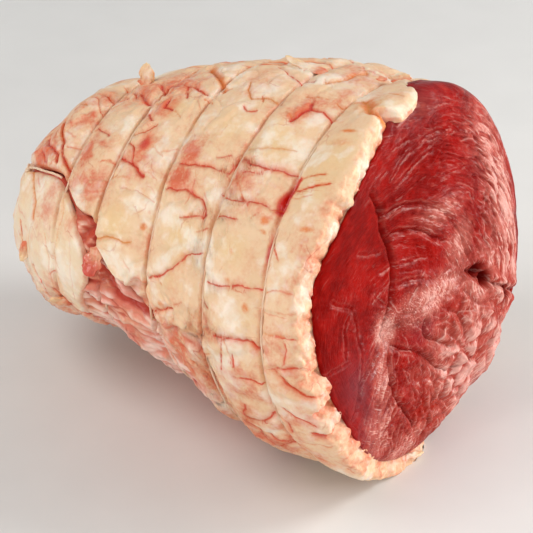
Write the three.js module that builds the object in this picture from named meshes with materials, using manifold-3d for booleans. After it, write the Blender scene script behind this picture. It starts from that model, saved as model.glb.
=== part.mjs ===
import * as THREE from 'three';
import Module from 'manifold-3d';

const wasm = await Module();
wasm.setup();
const { Manifold, Mesh } = wasm;

// A raw beef joint for roasting, rolled, wrapped in a sheet of fat and tied.
// Millimetres. +X runs along the joint to the cut face, +Z is up, the joint
// rests on z = 0. Distances "along" are measured from the cut face back to the
// gathered end. Angles go round the joint: 0 front, 90 top, 180 back, 270 under.

const JOINT_LENGTH = 162;
const STRINGS_AT = [13, 39, 71, 99, 121];
const STRING_RADIUS = 0.75;
const GAP = 0.3;
const MEAT_GAP = 0.6;
const GROOVE_DEPTH = 2.6;
const GROOVE_FLAT = 1.7;
const GROOVE_EDGE = 4.8;
const BAND_SWELL = 1.3;
const FLAP_THICKNESS = 5.6;
const MEAT_BELOW_FAT = 2.8;
const MEAT_ON_BOARD = 0.2;
const MEAT_UNDER_STRING = 3.4;
const MEAT_BELOW_FLAP = FLAP_THICKNESS + 2 * MEAT_GAP;
const STRING_LIFT = 2.3;

// along, centre x, y, z, radius front, back, up, down, lean-back tilt, turn, and how far
// the underside slumps to the back
const STATIONS = [
  [0, 67, -5, 72, 73, 68, 71.5, 77, 7.5, -1, 0],
  [13, 54, -0.8, 68, 76.7, 74, 69, 69, 9, -4.2, 0],
  [39, 28, 1, 67.3, 74.6, 75, 68.5, 70.5, 7, -4.7, 2],
  [71, -4, 2.8, 67.5, 65.5, 66, 63, 71.5, 4, -3.5, 9],
  [84, -17, 2, 68.5, 62, 63, 58, 71.5, 2, -3.2, 15],
  [99, -32, 1.2, 69.5, 59.4, 60, 53, 62, 0.5, -2.9, 17],
  [121, -54, -0.5, 66.5, 51.8, 52, 47, 50, 0, -1.9, 10],
  [136, -69, -1, 63, 45, 45, 46, 47, -2, -0.7, 4],
  [148, -79.5, -3, 64, 34.5, 36, 37, 39, -5, 0, 0],
  [157, -88, -6, 69, 23, 23, 22, 26, -11, 0, 0],
  [162, -92, -10, 77, 0, 0, 0, 0, -18, 0, 0],
];

// angle of the sheet's free edge in front and behind, by distance along
const FRONT_EDGE = [
  [0, -118], [18, -112], [30, -88], [39, -52], [46, -24], [63, -11], [79, 1],
  [96, 7], [104, 20], [115, 30], [125, 40], [147, 50], [162, 56],
];
const BACK_EDGE = [[0, 226], [60, 222], [100, 212], [125, 200], [162, 190]];

// thickness of the fat round its cut edge, and how far the meat swells past it
const RIM_THICKNESS = [[-90, 8], [0, 10], [60, 10], [76, 7.5], [90, 3.4], [180, 4.2], [225, 6]];
const WRAP_THICKNESS = 8;
const FACE_SWELL = [
  [-90, 12], [-45, 7], [0, 5], [45, 5], [62, 7], [80, 13], [100, 19], [140, 23],
  [180, 26], [225, 24],
];

// distance along at which the end flap begins, by angle
const FLAP_START = [[-160, 112], [-30, 111], [-15, 108], [0, 107], [14, 109], [26, 113]];

// slow swellings of the fat: length along, lobes round, phase, height
const LUMPS = [
  [46, 5, 0.6, 0.45], [31, 7, 2.1, 0.4], [63, 3, 4.0, 0.5], [27, 9, 5.2, 0.3], [38, 4, 1.3, 0.35],
];

// folds in the fat: along and angle at each end, depth, half width
const FOLDS = [
  [14, 60, 16, 44, 3.0, 4.5], [17, 57, 38, 58, 1.6, 3.5], [41, 27, 70, 12, 1.2, 4],
  [73, 22, 99, 14, 1.5, 3.5], [101, 24, 112, 34, 1.4, 4], [19, 2, 40, 3, 1.4, 4],
  [16, 84, 37, 86, 1.5, 4], [74, 60, 97, 64, 1.6, 4.5], [43, 96, 69, 92, 1.6, 4.5],
  [102, 84, 119, 80, 1.6, 4], [124, 70, 146, 66, 1.8, 4], [43, 140, 69, 150, 1.6, 4.5],
  [74, 120, 97, 128, 1.6, 4.5], [15, 150, 37, 141, 1.4, 4], [102, 150, 119, 142, 1.5, 4],
  [17, -30, 37, -38, 1.6, 4.5], [3, 20, 11, 24, 1.2, 4], [43, 196, 97, 188, 1.6, 4.5],
];

// lobes, seams and pits of the cut face, millimetres across and up from its middle:
// two ends of each seam, depth, half width
const SEAMS = [
  [46, 50, 38, 22, 3.2, 4], [38, 22, 30, -8, 2.8, 4], [30, -8, 34, -26, 2.0, 4.5],
  [24, 22, 0, 18, 2.8, 4], [0, 18, -14, 2, 2.6, 4], [-36, 2, -50, -4, 5.0, 4.5],
  [4, -24, -18, -44, 2.6, 4.5], [-14, 2, -36, 2, 2.2, 4],
];
const NAVEL = [24, -34, 4.0, 8];

const rad = THREE.MathUtils.degToRad;
const ramp = THREE.MathUtils.smoothstep;
const lerp = THREE.MathUtils.lerp;

// smooth curve through the rows of a table, read in one column
function along(rows, x, column = 1) {
  const last = rows.length - 2;
  let i = 0;
  while (i < last && x > rows[i + 1][0]) i += 1;
  const slope = (k) => {
    const before = Math.max(k - 1, 0);
    const after = Math.min(k + 1, rows.length - 1);
    return (rows[after][column] - rows[before][column]) / (rows[after][0] - rows[before][0]);
  };
  const span = rows[i + 1][0] - rows[i][0];
  const t = THREE.MathUtils.clamp((x - rows[i][0]) / span, 0, 1);
  const h = t * t * (3 - 2 * t);
  return rows[i][column] * (1 - h) + rows[i + 1][column] * h
    + span * (slope(i) * t * (1 - t) * (1 - t) - slope(i + 1) * t * t * (1 - t));
}

// the same, for a table that closes on itself after a full turn
function around(rows, degrees) {
  const start = rows[0][0];
  const turned = ((((degrees - start) % 360) + 360) % 360) + start;
  return along([...rows, [start + 360, rows[0][1]]], turned);
}

function stationAt(distance) {
  const [x, y, z, front, back, up, down, tiltDeg, turnDeg, slump] = STATIONS[0]
    .slice(1)
    .map((_, i) => along(STATIONS, distance, i + 1));
  const tilt = rad(tiltDeg);
  const turn = rad(turnDeg);
  return {
    centre: new THREE.Vector3(x, y, z),
    front,
    back,
    up,
    down,
    slump,
    axis: new THREE.Vector3(
      Math.cos(tilt) * Math.cos(turn), Math.cos(tilt) * Math.sin(turn), Math.sin(tilt)),
    side: new THREE.Vector3(Math.sin(turn), -Math.cos(turn), 0),
    rise: new THREE.Vector3(
      -Math.sin(tilt) * Math.cos(turn), -Math.sin(tilt) * Math.sin(turn), Math.cos(tilt)),
  };
}

// point on the joint, "out" millimetres outside its smooth skin
function skin(distance, degrees, out = 0) {
  const ring = stationAt(distance);
  const c = Math.cos(rad(degrees));
  const s = Math.sin(rad(degrees));
  const endOn = ramp(distance, 140, JOINT_LENGTH);
  const radial = out * (1 - endOn);
  const across = Math.max((c > 0 ? ring.front : ring.back) + radial, 0) * c
    - ring.slump * Math.min(s, 0) ** 2;
  const height = Math.max((s > 0 ? ring.up : ring.down) + radial, 0) * s;
  return ring.centre
    .addScaledVector(ring.side, across)
    .addScaledVector(ring.rise, height)
    .addScaledVector(ring.axis, -out * endOn);
}

// 1 in the bottom of a string groove, 0 on the bands
function groove(distance) {
  const nearest = Math.min(...STRINGS_AT.map((at) => Math.abs(distance - at)));
  return 1 - ramp(nearest, GROOVE_FLAT, GROOVE_EDGE);
}

// how near a point is to a line between two marks, 1 on it and 0 away from it
function onLine(x, y, [x0, y0, x1, y1, , half]) {
  const dx = x1 - x0;
  const dy = y1 - y0;
  const t = THREE.MathUtils.clamp(((x - x0) * dx + (y - y0) * dy) / (dx * dx + dy * dy), 0, 1);
  const away = Math.hypot(x - x0 - t * dx, y - y0 - t * dy) / half;
  return Math.exp(-away * away);
}

function folds(distance, degrees) {
  const perDegree = rad(along(STATIONS, Math.min(distance, 150), 4));
  const turned = degrees > 226 ? degrees - 360 : degrees;
  return FOLDS.reduce((sum, fold) => {
    const [m0, a0, m1, a1, depth, half] = fold;
    const line = [m0, a0 * perDegree, m1, a1 * perDegree, depth, half];
    return Math.max(sum, depth * onLine(distance, turned * perDegree, line));
  }, 0);
}

function lumps(distance, degrees) {
  return LUMPS.reduce((sum, [length, lobes, phase, height]) => (
    sum + height * Math.sin((2 * Math.PI * distance) / length + lobes * rad(degrees) + phase)
  ), 0);
}

// height of the fat's outer surface over the smooth skin
function fatRelief(distance, degrees) {
  const sunk = groove(distance);
  const rim = 2.4 * (1 - ramp(distance, 0, 4));
  const band = BAND_SWELL + lumps(distance, degrees) - folds(distance, degrees);
  return lerp(band, -GROOVE_DEPTH, sunk) - rim;
}

function fatThickness(distance, degrees) {
  const settled = WRAP_THICKNESS * lerp(1, 0.75, ramp(distance, 60, 140));
  return lerp(around(RIM_THICKNESS, degrees), settled, ramp(distance, 2, 30));
}

// keeps a point on or above the board, and clear of the strings in a groove
function onBoard(point, distance) {
  point.z = Math.max(point.z, STRING_LIFT * groove(distance));
  return point;
}

// moves every vertex of a three.js shape and turns its faces outward
function reshape(geometry, place) {
  const { position, uv } = geometry.attributes;
  const local = new THREE.Vector3();
  for (let i = 0; i < position.count; i += 1) {
    local.fromBufferAttribute(position, i);
    const moved = place(local, uv.getX(i), uv.getY(i));
    position.setXYZ(i, moved.x, moved.y, moved.z);
  }
  const { index } = geometry;
  const a = new THREE.Vector3();
  const b = new THREE.Vector3();
  const c = new THREE.Vector3();
  let volume = 0;
  for (let i = 0; i < index.count; i += 3) {
    a.fromBufferAttribute(position, index.getX(i));
    b.fromBufferAttribute(position, index.getX(i + 1));
    c.fromBufferAttribute(position, index.getX(i + 2));
    volume += a.dot(b.cross(c));
  }
  if (volume < 0) {
    for (let i = 0; i < index.count; i += 3) {
      const second = index.getX(i + 1);
      index.setX(i + 1, index.getX(i + 2));
      index.setX(i + 2, second);
    }
  }
  geometry.computeVertexNormals();
  return geometry;
}

// rows of cross-sections, with a flat-bottomed groove's corners at every string
function rowsBetween(first, last, extra) {
  const rows = [first, last, ...extra];
  for (const at of STRINGS_AT) {
    rows.push(at - GROOVE_EDGE, at - GROOVE_FLAT, at + GROOVE_FLAT, at + GROOVE_EDGE);
  }
  return rows
    .filter((row) => row >= first && row <= last)
    .sort((p, q) => p - q);
}

const SHEET_END = 160;
const ROWS = rowsBetween(0, SHEET_END, [1.5, 4, 23, 31, 50, 60, 82, 90, 105.5, 111, 131, 137, 144, 151, 156]);

// ---- sheet of fat ----

const SHEET_COLUMNS = 40;
const EDGE_BEVEL = 2;

function sheetAngle(distance, share) {
  return lerp(along(FRONT_EDGE, distance), along(BACK_EDGE, distance), share);
}

function fatSheet() {
  const rows = ROWS.length - 1;
  const box = new THREE.BoxGeometry(1, 1, 1, rows, SHEET_COLUMNS, 1);
  return reshape(box, ({ x, y, z }) => {
    const distance = ROWS[Math.round((0.5 - x) * rows)];
    const column = Math.round((y + 0.5) * SHEET_COLUMNS);
    const degrees = sheetAngle(distance, column / SHEET_COLUMNS);
    const bevel = column % SHEET_COLUMNS === 0 ? EDGE_BEVEL : 0;
    const out = fatRelief(distance, degrees) - bevel;
    if (z > 0) return onBoard(skin(distance, degrees, out), distance);
    return skin(distance, degrees, -fatThickness(distance, degrees));
  });
}

// small torn tags of fat standing off the sheet: along, angle, height, size along, across
const TAGS = [
  [117, 98, 9, 2.6, 3], [54, 104, 3.2, 10, 7], [26, 112, 3.2, 7, 8],
];

const TAG_ROOT = 2.5;

function tag([distance, degrees, height, length, width]) {
  const foot = skin(distance, degrees, 0);
  const out = skin(distance, degrees, 1).sub(foot).normalize();
  const ring = stationAt(distance);
  const sideways = new THREE.Vector3().crossVectors(out, ring.axis).normalize();
  return reshape(new THREE.SphereGeometry(1, 8, 6), ({ x, y, z }) => {
    const point = foot.clone()
      .addScaledVector(out, y > 0 ? y * height : y * TAG_ROOT)
      .addScaledVector(ring.axis, x * length)
      .addScaledVector(sideways, z * width);
    return onBoard(point, distance);
  });
}

function toSolid(geometry) {
  const { position } = geometry.attributes;
  const { index } = geometry;
  const corners = new Map();
  const points = [];
  const remap = [];
  for (let i = 0; i < position.count; i += 1) {
    const key = [position.getX(i), position.getY(i), position.getZ(i)]
      .map((v) => v.toFixed(4))
      .join();
    if (!corners.has(key)) {
      corners.set(key, points.length / 3);
      points.push(position.getX(i), position.getY(i), position.getZ(i));
    }
    remap.push(corners.get(key));
  }
  const faces = [];
  for (let i = 0; i < index.count; i += 3) {
    const face = [0, 1, 2].map((k) => remap[index.getX(i + k)]);
    if (new Set(face).size === 3) faces.push(...face);
  }
  return new Manifold(new Mesh({
    numProp: 3,
    vertProperties: new Float32Array(points),
    triVerts: new Uint32Array(faces),
  }));
}

function toGeometry(solid) {
  const mesh = solid.getMesh();
  const geometry = new THREE.BufferGeometry();
  geometry.setAttribute('position', new THREE.BufferAttribute(new Float32Array(mesh.vertProperties), 3));
  geometry.setIndex(new THREE.BufferAttribute(new Uint32Array(mesh.triVerts), 1));
  geometry.computeVertexNormals();
  return geometry;
}

function fatCover() {
  const solids = [toSolid(fatSheet()), ...TAGS.map((one) => toSolid(tag(one)))];
  return toGeometry(Manifold.union(solids));
}

// ---- pale flap folded over the gathered end ----

const FLAP_COLUMNS = 18;
const FLAP_TOP_GAP = 2.4;
const FLAP_ROWS = [
  108, 112, ...rowsBetween(113, SHEET_END, [131, 137, 144, 151, 156]),
];

function flapAngle(distance, share) {
  const edgeGap = FLAP_TOP_GAP * lerp(1, 3, ramp(distance, 130, 158));
  const top = along(FRONT_EDGE, distance) - edgeGap;
  const under = along(BACK_EDGE, distance) - 360 + edgeGap;
  return lerp(under, top, share);
}

function flap() {
  const rows = FLAP_ROWS.length - 1;
  const box = new THREE.BoxGeometry(1, 1, 1, rows, FLAP_COLUMNS, 1);
  const straight = 116;
  return reshape(box, ({ x, y, z }) => {
    const nominal = FLAP_ROWS[Math.round((0.5 - x) * rows)];
    const degrees = flapAngle(nominal, y + 0.5);
    const share = (nominal - FLAP_ROWS[0]) / (straight - FLAP_ROWS[0]);
    const distance = nominal < straight
      ? lerp(along(FLAP_START, degrees), straight, share)
      : nominal;
    const edge = nominal === FLAP_ROWS[0] ? 1.5 : 0;
    if (z > 0) return skin(distance, degrees, fatRelief(distance, degrees) - 0.6 - edge);
    return skin(distance, degrees, -FLAP_THICKNESS);
  });
}

// ---- meat ----

const COVERED_COLUMNS = 20;
const BARE_COLUMNS = 14;
const MEAT_COLUMNS = COVERED_COLUMNS + BARE_COLUMNS;
const FACE_RINGS = 11;
const EDGE_STEPS = [1.2, 4.2];

// angle of a meat column: under the sheet first, then across the bare strip
function meatAngle(distance, column) {
  const front = along(FRONT_EDGE, distance);
  const back = along(BACK_EDGE, distance);
  if (column <= COVERED_COLUMNS) return lerp(front, back, column / COVERED_COLUMNS);
  const perMillimetre = 1 / rad(Math.max(along(STATIONS, distance, 4), 12));
  const bare = front + 360 - back;
  const steps = EDGE_STEPS.map((step) => Math.min(step * perMillimetre, bare * step * 0.07));
  const place = column - COVERED_COLUMNS;
  if (place <= 2) return back + steps[place - 1];
  if (place >= BARE_COLUMNS - 2) return front + 360 - steps[BARE_COLUMNS - 1 - place];
  const inner = (place - 2) / (BARE_COLUMNS - 4);
  return lerp(back + steps[1], front + 360 - steps[1], inner);
}

function meatDepth(distance, degrees, column) {
  const place = column - COVERED_COLUMNS;
  const underSheet = fatThickness(distance, degrees) + MEAT_GAP + ramp(distance, 121, 137);
  if (place <= 1 || place === BARE_COLUMNS - 1) {
    return Math.max(underSheet, MEAT_BELOW_FLAP * ramp(distance, 100.5, 105.5));
  }
  const underneath = ramp(Math.abs(degrees - 270), 20, 42);
  const beside = lerp(MEAT_ON_BOARD, MEAT_BELOW_FAT, underneath);
  const crumple = 0.8 * underneath * Math.sin(distance / 3.1 + degrees / 7);
  const bare = lerp(beside + crumple, MEAT_BELOW_FLAP, ramp(distance, 90, 105.5));
  return lerp(bare, Math.max(MEAT_UNDER_STRING, bare), groove(distance));
}

function faceRelief(across, height) {
  const cut = SEAMS.reduce(
    (sum, seam) => Math.max(sum, seam[4] * onLine(across, height, seam)), 0);
  const [nx, ny, depth, half] = NAVEL;
  const navel = depth * Math.exp(-(((across - nx) ** 2 + (height - ny) ** 2) / (half * half)));
  return -Math.max(cut, navel) + 0.6 * Math.sin(across / 9 + 1) * Math.sin(height / 8);
}

// cut face: share 0 at its middle, 1 at its edge
function facePoint(share, degrees, depth) {
  const ring = stationAt(0);
  const c = Math.cos(rad(degrees));
  const s = Math.sin(rad(degrees));
  const across = ((c > 0 ? ring.front : ring.back) - depth) * c * share;
  const height = ((s > 0 ? ring.up : ring.down) - depth) * s * share;
  const middle = FACE_SWELL.reduce((sum, row) => sum + row[1], 0) / FACE_SWELL.length;
  const shoulder = Math.max(1 - share ** 3, 0) ** 0.6;
  const swell = lerp(middle, around(FACE_SWELL, degrees), ramp(share, 0, 0.6));
  const marks = share < 1 ? faceRelief(across, height) * ramp(1 - share, 0, 0.12) : 0;
  return ring.centre
    .addScaledVector(ring.side, across)
    .addScaledVector(ring.rise, height)
    .addScaledVector(ring.axis, swell * shoulder + marks);
}

function meat() {
  const bodyRows = ROWS.slice(1);
  const rows = FACE_RINGS + bodyRows.length + 1;
  const ball = new THREE.SphereGeometry(1, MEAT_COLUMNS, rows);
  return reshape(ball, (_, u, v) => {
    const row = Math.round((1 - v) * rows);
    if (row === 0) return facePoint(0, 0, 0);
    if (row === rows) return skin(JOINT_LENGTH, 0, -MEAT_BELOW_FLAP);
    const column = Math.round(u * MEAT_COLUMNS) % MEAT_COLUMNS;
    const distance = row > FACE_RINGS ? bodyRows[row - FACE_RINGS - 1] : 0;
    const degrees = meatAngle(distance, column);
    if (row < FACE_RINGS) {
      const share = Math.sin((Math.PI / 2) * (row / FACE_RINGS) ** 0.8);
      return facePoint(share, degrees, fatThickness(0, degrees) + MEAT_GAP);
    }
    const depth = meatDepth(distance, degrees, column);
    if (row === FACE_RINGS) return facePoint(1, degrees, depth);
    return onBoard(skin(distance, degrees, -depth), distance);
  });
}

// ---- strings ----

const STRING_SIDES = 6;

// angles and depths a string passes on its way round: over the sheet, then back
// over the flap or the bare meat
function stringPath(at) {
  const overSheet = Array.from({ length: SHEET_COLUMNS + 1 }, (_, i) => (
    { degrees: sheetAngle(at, i / SHEET_COLUMNS), depth: GROOVE_DEPTH }));
  if (at > FLAP_ROWS[0]) {
    const overFlap = Array.from({ length: FLAP_COLUMNS + 1 }, (_, i) => (
      { degrees: flapAngle(at, i / FLAP_COLUMNS) + 360, depth: GROOVE_DEPTH }));
    return [...overSheet, ...overFlap];
  }
  const overMeat = Array.from({ length: BARE_COLUMNS - 1 }, (_, i) => {
    const touching = i > 0 && i < BARE_COLUMNS - 2;
    return {
      degrees: meatAngle(at, COVERED_COLUMNS + 1 + i),
      depth: touching ? MEAT_UNDER_STRING - 0.2 : GROOVE_DEPTH,
    };
  });
  return [...overSheet, ...overMeat];
}

function stringLoop(at) {
  const path = stringPath(at);
  const steps = path.length;
  const torus = new THREE.TorusGeometry(1, 0.1, STRING_SIDES, steps);
  return reshape(torus, (_, u, v) => {
    const { degrees, depth } = path[Math.round(u * steps) % steps];
    const sunk = GAP + STRING_RADIUS - depth;
    const turn = (2 * Math.PI * (Math.round(v * STRING_SIDES) % STRING_SIDES)) / STRING_SIDES;
    const middle = skin(at, degrees, sunk);
    middle.z = Math.max(middle.z, STRING_RADIUS + GAP);
    const out = skin(at, degrees, sunk + 1).sub(skin(at, degrees, sunk)).normalize();
    return middle
      .addScaledVector(out, STRING_RADIUS * Math.cos(turn))
      .addScaledVector(stationAt(at).axis, STRING_RADIUS * Math.sin(turn));
  });
}

// string laid in the fold between the sheet and the flap, over the gathered end
function endString() {
  const steps = 12;
  const rod = new THREE.CylinderGeometry(1, 1, 1, STRING_SIDES, steps);
  const first = 126;
  const last = 155;
  const path = (t) => {
    const distance = lerp(first, last, t);
    const degrees = along(FRONT_EDGE, distance) - FLAP_TOP_GAP * 0.6;
    return skin(distance, degrees, 2.2);
  };
  return reshape(rod, ({ x, y, z }) => {
    const t = 0.5 - y;
    const step = 0.02;
    const middle = path(t);
    const forward = path(Math.min(t + step, 1)).sub(path(Math.max(t - step, 0))).normalize();
    const out = new THREE.Vector3().crossVectors(forward, new THREE.Vector3(0, 0, 1)).normalize();
    const side = new THREE.Vector3().crossVectors(forward, out);
    return middle
      .addScaledVector(out, x * STRING_RADIUS)
      .addScaledVector(side, z * STRING_RADIUS);
  });
}

// ---- the joint ----

const FAT = { color: 0xe4bd94, roughness: 0.5, metalness: 0 };
const FLAP = { color: 0xe4c2a9, roughness: 0.5, metalness: 0 };
const MEAT = { color: 0xa23229, roughness: 0.42, metalness: 0 };
const STRING = { color: 0xb9a68e, roughness: 0.85, metalness: 0 };

function named(name, geometry, look) {
  const mesh = new THREE.Mesh(geometry, new THREE.MeshStandardMaterial(look));
  mesh.name = name;
  return mesh;
}

const wrap = new THREE.Group();
wrap.add(named('fat_cover', fatCover(), FAT), named('end_flap', flap(), FLAP));

const ties = new THREE.Group();
STRINGS_AT.forEach((at, i) => {
  ties.add(named(`string_loop_${i + 1}`, stringLoop(at), STRING));
});
ties.add(named('string_end', endString(), STRING));

const group = new THREE.Group();
group.name = 'beef_roasting_joint';
group.add(named('lean_meat', meat(), MEAT), wrap, ties);

// the middle of the joint stands over the origin
const middle = new THREE.Box3().setFromObject(group).getCenter(new THREE.Vector3());
group.position.set(-middle.x, -middle.y, 0);

export default group;
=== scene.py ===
import math
import random

import bmesh
import bpy
import numpy as np
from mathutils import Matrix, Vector, noise


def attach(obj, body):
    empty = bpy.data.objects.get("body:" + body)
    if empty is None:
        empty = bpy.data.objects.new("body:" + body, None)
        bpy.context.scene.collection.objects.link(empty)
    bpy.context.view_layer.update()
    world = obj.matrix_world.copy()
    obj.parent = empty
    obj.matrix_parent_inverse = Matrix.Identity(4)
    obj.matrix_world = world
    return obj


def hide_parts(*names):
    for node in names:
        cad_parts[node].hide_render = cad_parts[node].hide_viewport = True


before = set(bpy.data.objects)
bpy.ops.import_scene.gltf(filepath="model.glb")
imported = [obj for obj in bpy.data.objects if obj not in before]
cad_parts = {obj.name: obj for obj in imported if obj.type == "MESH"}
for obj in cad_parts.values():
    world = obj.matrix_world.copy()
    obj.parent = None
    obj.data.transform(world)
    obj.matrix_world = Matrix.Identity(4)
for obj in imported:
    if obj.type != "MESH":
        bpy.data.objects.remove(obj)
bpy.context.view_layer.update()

# A raw beef joint for roasting: rolled, wrapped in a sheet of fat and tied with twine.
# Shapes are worked out in millimetres. Distances "along" run from the cut face back to
# the gathered end. Angles go round the joint: 0 front, 90 top, 180 back, 270 under.
# "Out" is the height over the joint's smooth skin.

JOINT_LENGTH = 162
# brings the middle of the joint over the origin
TO_MIDDLE = np.array([1.2784, 1.1031, 0.0])
TWINE_AT = (13, 39, 71, 99, 121)
TWINE_RADIUS = 0.48
TWINE_IN_MEAT = 4.1
GROOVE_DEPTH = 1.2
GROOVE_FLAT = 0.3
GROOVE_EDGE = 1.3
SHOULDER_EDGE = 6.0
BAND_SWELL = 1.3
WRAP_THICKNESS = 8
SHEET_END = 161.9
FLAP_THICKNESS = 5.6
FLAP_GAP = 2.4
FLAP_ROOT = 108
FLAP_STRAIGHT = 116
WRAP_ROUNDING = 3.2
FLAP_ROUNDING = 2.4
LIP_DROOP = 0.28
MEAT_GAP = 0.2
BOARD_GAP = 0.4
SHEET_JOIN = TWINE_AT[2]
FIRST_ANGLE = -134
END_TURNS_AT = 140
LAST_BAND = 150

# along, centre x, y, z, radius front, back, up, down, lean-back tilt, turn, slump of the underside
STATIONS = np.array([
    (0, 67, -5, 72, 73, 68, 71.5, 77, 7.5, -1, 0),
    (13, 54, -0.8, 68, 76.7, 74, 69, 69, 9, -4.2, 0),
    (39, 28, 1, 67.3, 74.6, 75, 68.5, 70.5, 7, -4.7, 2),
    (71, -4, 2.8, 67.5, 65.5, 66, 63, 71.5, 4, -3.5, 9),
    (84, -17, 2, 68.5, 62, 63, 58, 71.5, 2, -3.2, 15),
    (99, -32, 1.2, 69.5, 59.4, 60, 53, 62, 0.5, -2.9, 17),
    (121, -54, -0.5, 66.5, 51.8, 52, 47, 50, 0, -1.9, 10),
    (136, -69, -1, 63, 45, 45, 46, 47, -2, -0.7, 4),
    (148, -79.5, -3, 64, 34.5, 36, 37, 39, -5, 0, 0),
    (157, -88, -6, 69, 23, 23, 22, 26, -11, 0, 0),
    (162, -92, -10, 77, 0, 0, 0, 0, -18, 0, 0),
], float)

# angle of the fat sheet's free edge in front and behind, by distance along
FRONT_EDGE = np.array([
    (0, -118), (18, -112), (30, -88), (39, -52), (46, -24), (63, -11), (79, 1), (88, 5),
    (92, 8.3), (97, 14.6), (99.3, 19.5), (101.5, 23), (106, 23.8), (111, 26.2), (116.5, 31),
    (122, 36.3), (127, 40), (140, 41), (155, 42), (162, 43),
], float)
BACK_EDGE = np.array([(0, 226), (60, 222), (100, 212), (125, 200), (162, 190)], float)

# angle below which the sheet thins to pink membrane, by distance along
MEMBRANE_EDGE = np.array([
    (26, -125), (30, -34), (31, -17), (33, -9), (36, -3), (40, 2.5), (46, 1.5), (53, 0), (60, -2.7),
    (66, -1.5), (69, 5), (71.5, 9), (76, 8), (80, 5), (84, 4.5), (88, 6), (92, 10.5), (96, 14.5),
    (99, 19), (106, 30),
], float)

# by angle: thickness of the fat at its cut edge, how far that edge reaches forward, how far
# the meat's own edge does, and how far the middle of the meat swells past it
RIM_THICKNESS = np.array([
    (-90, 8), (0, 9), (60, 8.5), (76, 7.5), (90, 3.4), (180, 4.2), (225, 6),
], float)
RIM_REACH = np.array([
    (-118, -5), (-96, -4), (-90, 0), (-85, 2), (-60, 2), (-44, 5.5), (-24, 5), (-12, 2.5), (0, 0),
    (12, -1), (22, -2.2), (30, -0.6), (38, 2.2), (50, 5), (62, 5.5), (72, 5), (79, 4), (82.5, 4.5),
    (84.5, 8), (93, 8.2), (97, 6.8), (100, 4), (103, 0), (107, -2), (200, -2), (212, 0),
], float)
# nicks of the cut edge of the fat, and lobes where negative: angle, half width in degrees, how
# far back
RIM_NICKS = [
    (82.5, 0.9, 3.0), (49, 1.2, 1.6), (46, 1.6, 1.6), (52, 1.5, -0.8), (33, 1.0, 0.8),
    (14, 1.2, 0.9), (-3, 1.0, 1.4), (-8.5, 3.6, -1.5), (-14.2, 1.3, 2.4), (-18, 2.4, -0.7),
    (-21.8, 1.0, 1.3), (-26, 1.6, -0.5), (-29.5, 0.9, 1.0), (-37, 1.1, 1.2), (-47, 1.2, 0.9),
    (-56, 1.6, 0.9), (-66, 1.2, 1.2), (-77, 1.6, 1.0),
]
MEAT_REACH = np.array([
    (-118, 0), (-60, 2), (-40, 5), (-24, 5), (-12, 2.5), (0, 0), (12, -1), (22, -2.2), (30, -0.6),
    (38, 2.2), (50, 5), (62, 5.5), (72, 5), (90, 3), (106, 2), (200, 0),
], float)
FACE_SWELL = np.array([
    (-90, 12), (-45, 7), (0, 5), (45, 5), (62, 7), (80, 12.5), (100, 17.8), (140, 21.7), (180, 25),
    (225, 25.5),
], float)
# by angle: how far along the flap starts
FLAP_START = np.array([
    (-160, 112), (-30, 111), (-15, 107), (-4, 102), (4, 101.5), (12, 105.5), (19.5, 109.5),
    (28, 113),
], float)

# how many small marks are scattered
SMALL_CREASES, FLAP_CRACKS, SMALL_FOLDS, FINE_SEAMS, HIDDEN_STAINS = 320, 120, 150, 900, 16


def ramp(x, low, high):
    """0 below low, 1 above high, smooth between."""
    t = np.clip((x - low) / (high - low), 0, 1)
    return t * t * (3 - 2 * t)


def mix(a, b, t):
    return a + (b - a) * t


def along(rows, x, column=1):
    """Smooth curve through the rows of a table, read in one column."""
    keys, values = rows[:, 0], rows[:, column]
    index = np.arange(len(rows))
    before, after = np.maximum(index - 1, 0), np.minimum(index + 1, len(rows) - 1)
    slope = (values[after] - values[before]) / (keys[after] - keys[before])
    i = np.clip(np.searchsorted(keys, x) - 1, 0, len(rows) - 2)
    span = keys[i + 1] - keys[i]
    t = np.clip((x - keys[i]) / span, 0, 1)
    h = t * t * (3 - 2 * t)
    return (mix(values[i], values[i + 1], h)
            + span * (slope[i] * t * (1 - t) ** 2 - slope[i + 1] * t * t * (1 - t)))


def around(rows, degrees):
    """The same, for a table that closes on itself after a full turn."""
    start = rows[0, 0]
    turned = (degrees - start) % 360 + start
    return along(np.vstack([rows, (start + 360, rows[0, 1])]), turned)


def front_angle(degrees):
    """The angle counted up from the first one, as the tables of marks have it."""
    return (degrees - FIRST_ANGLE) % 360 + FIRST_ANGLE


def station(distance):
    """Centre, radii and directions of the joint that far along."""
    x, y, z, front, back, up, down, tilt, turn, slump = [
        along(STATIONS, distance, column) for column in range(1, 11)]
    tilt, turn = np.radians(tilt), np.radians(turn)
    axis = np.stack([np.cos(tilt) * np.cos(turn), np.cos(tilt) * np.sin(turn), np.sin(tilt)], -1)
    side = np.stack([np.sin(turn), -np.cos(turn), 0 * turn], -1)
    rise = np.stack([-np.sin(tilt) * np.cos(turn), -np.sin(tilt) * np.sin(turn), np.cos(tilt)], -1)
    return np.stack([x, y, z], -1), (front, back, up, down, slump), (axis, side, rise)


def skin(distance, degrees, out, forward=0.0):
    """Points on the joint, out from its smooth skin, moved forward along its axis."""
    distance, degrees, out, forward = np.broadcast_arrays(
        *[np.asarray(value, float) for value in (distance, degrees, out, forward)])
    centre, (front, back, up, down, slump), (axis, side, rise) = station(distance)
    c, s = np.cos(np.radians(degrees)), np.sin(np.radians(degrees))
    end_on = ramp(distance, END_TURNS_AT, JOINT_LENGTH)
    radial = out * (1 - end_on)
    across = np.maximum(np.where(c > 0, front, back) + radial, 0) * c
    across = across - slump * np.minimum(s, 0) ** 2
    height = np.maximum(np.where(s > 0, up, down) + radial, 0) * s
    return (centre + side * across[..., None] + rise * height[..., None]
            + axis * (forward - out * end_on)[..., None])


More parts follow.
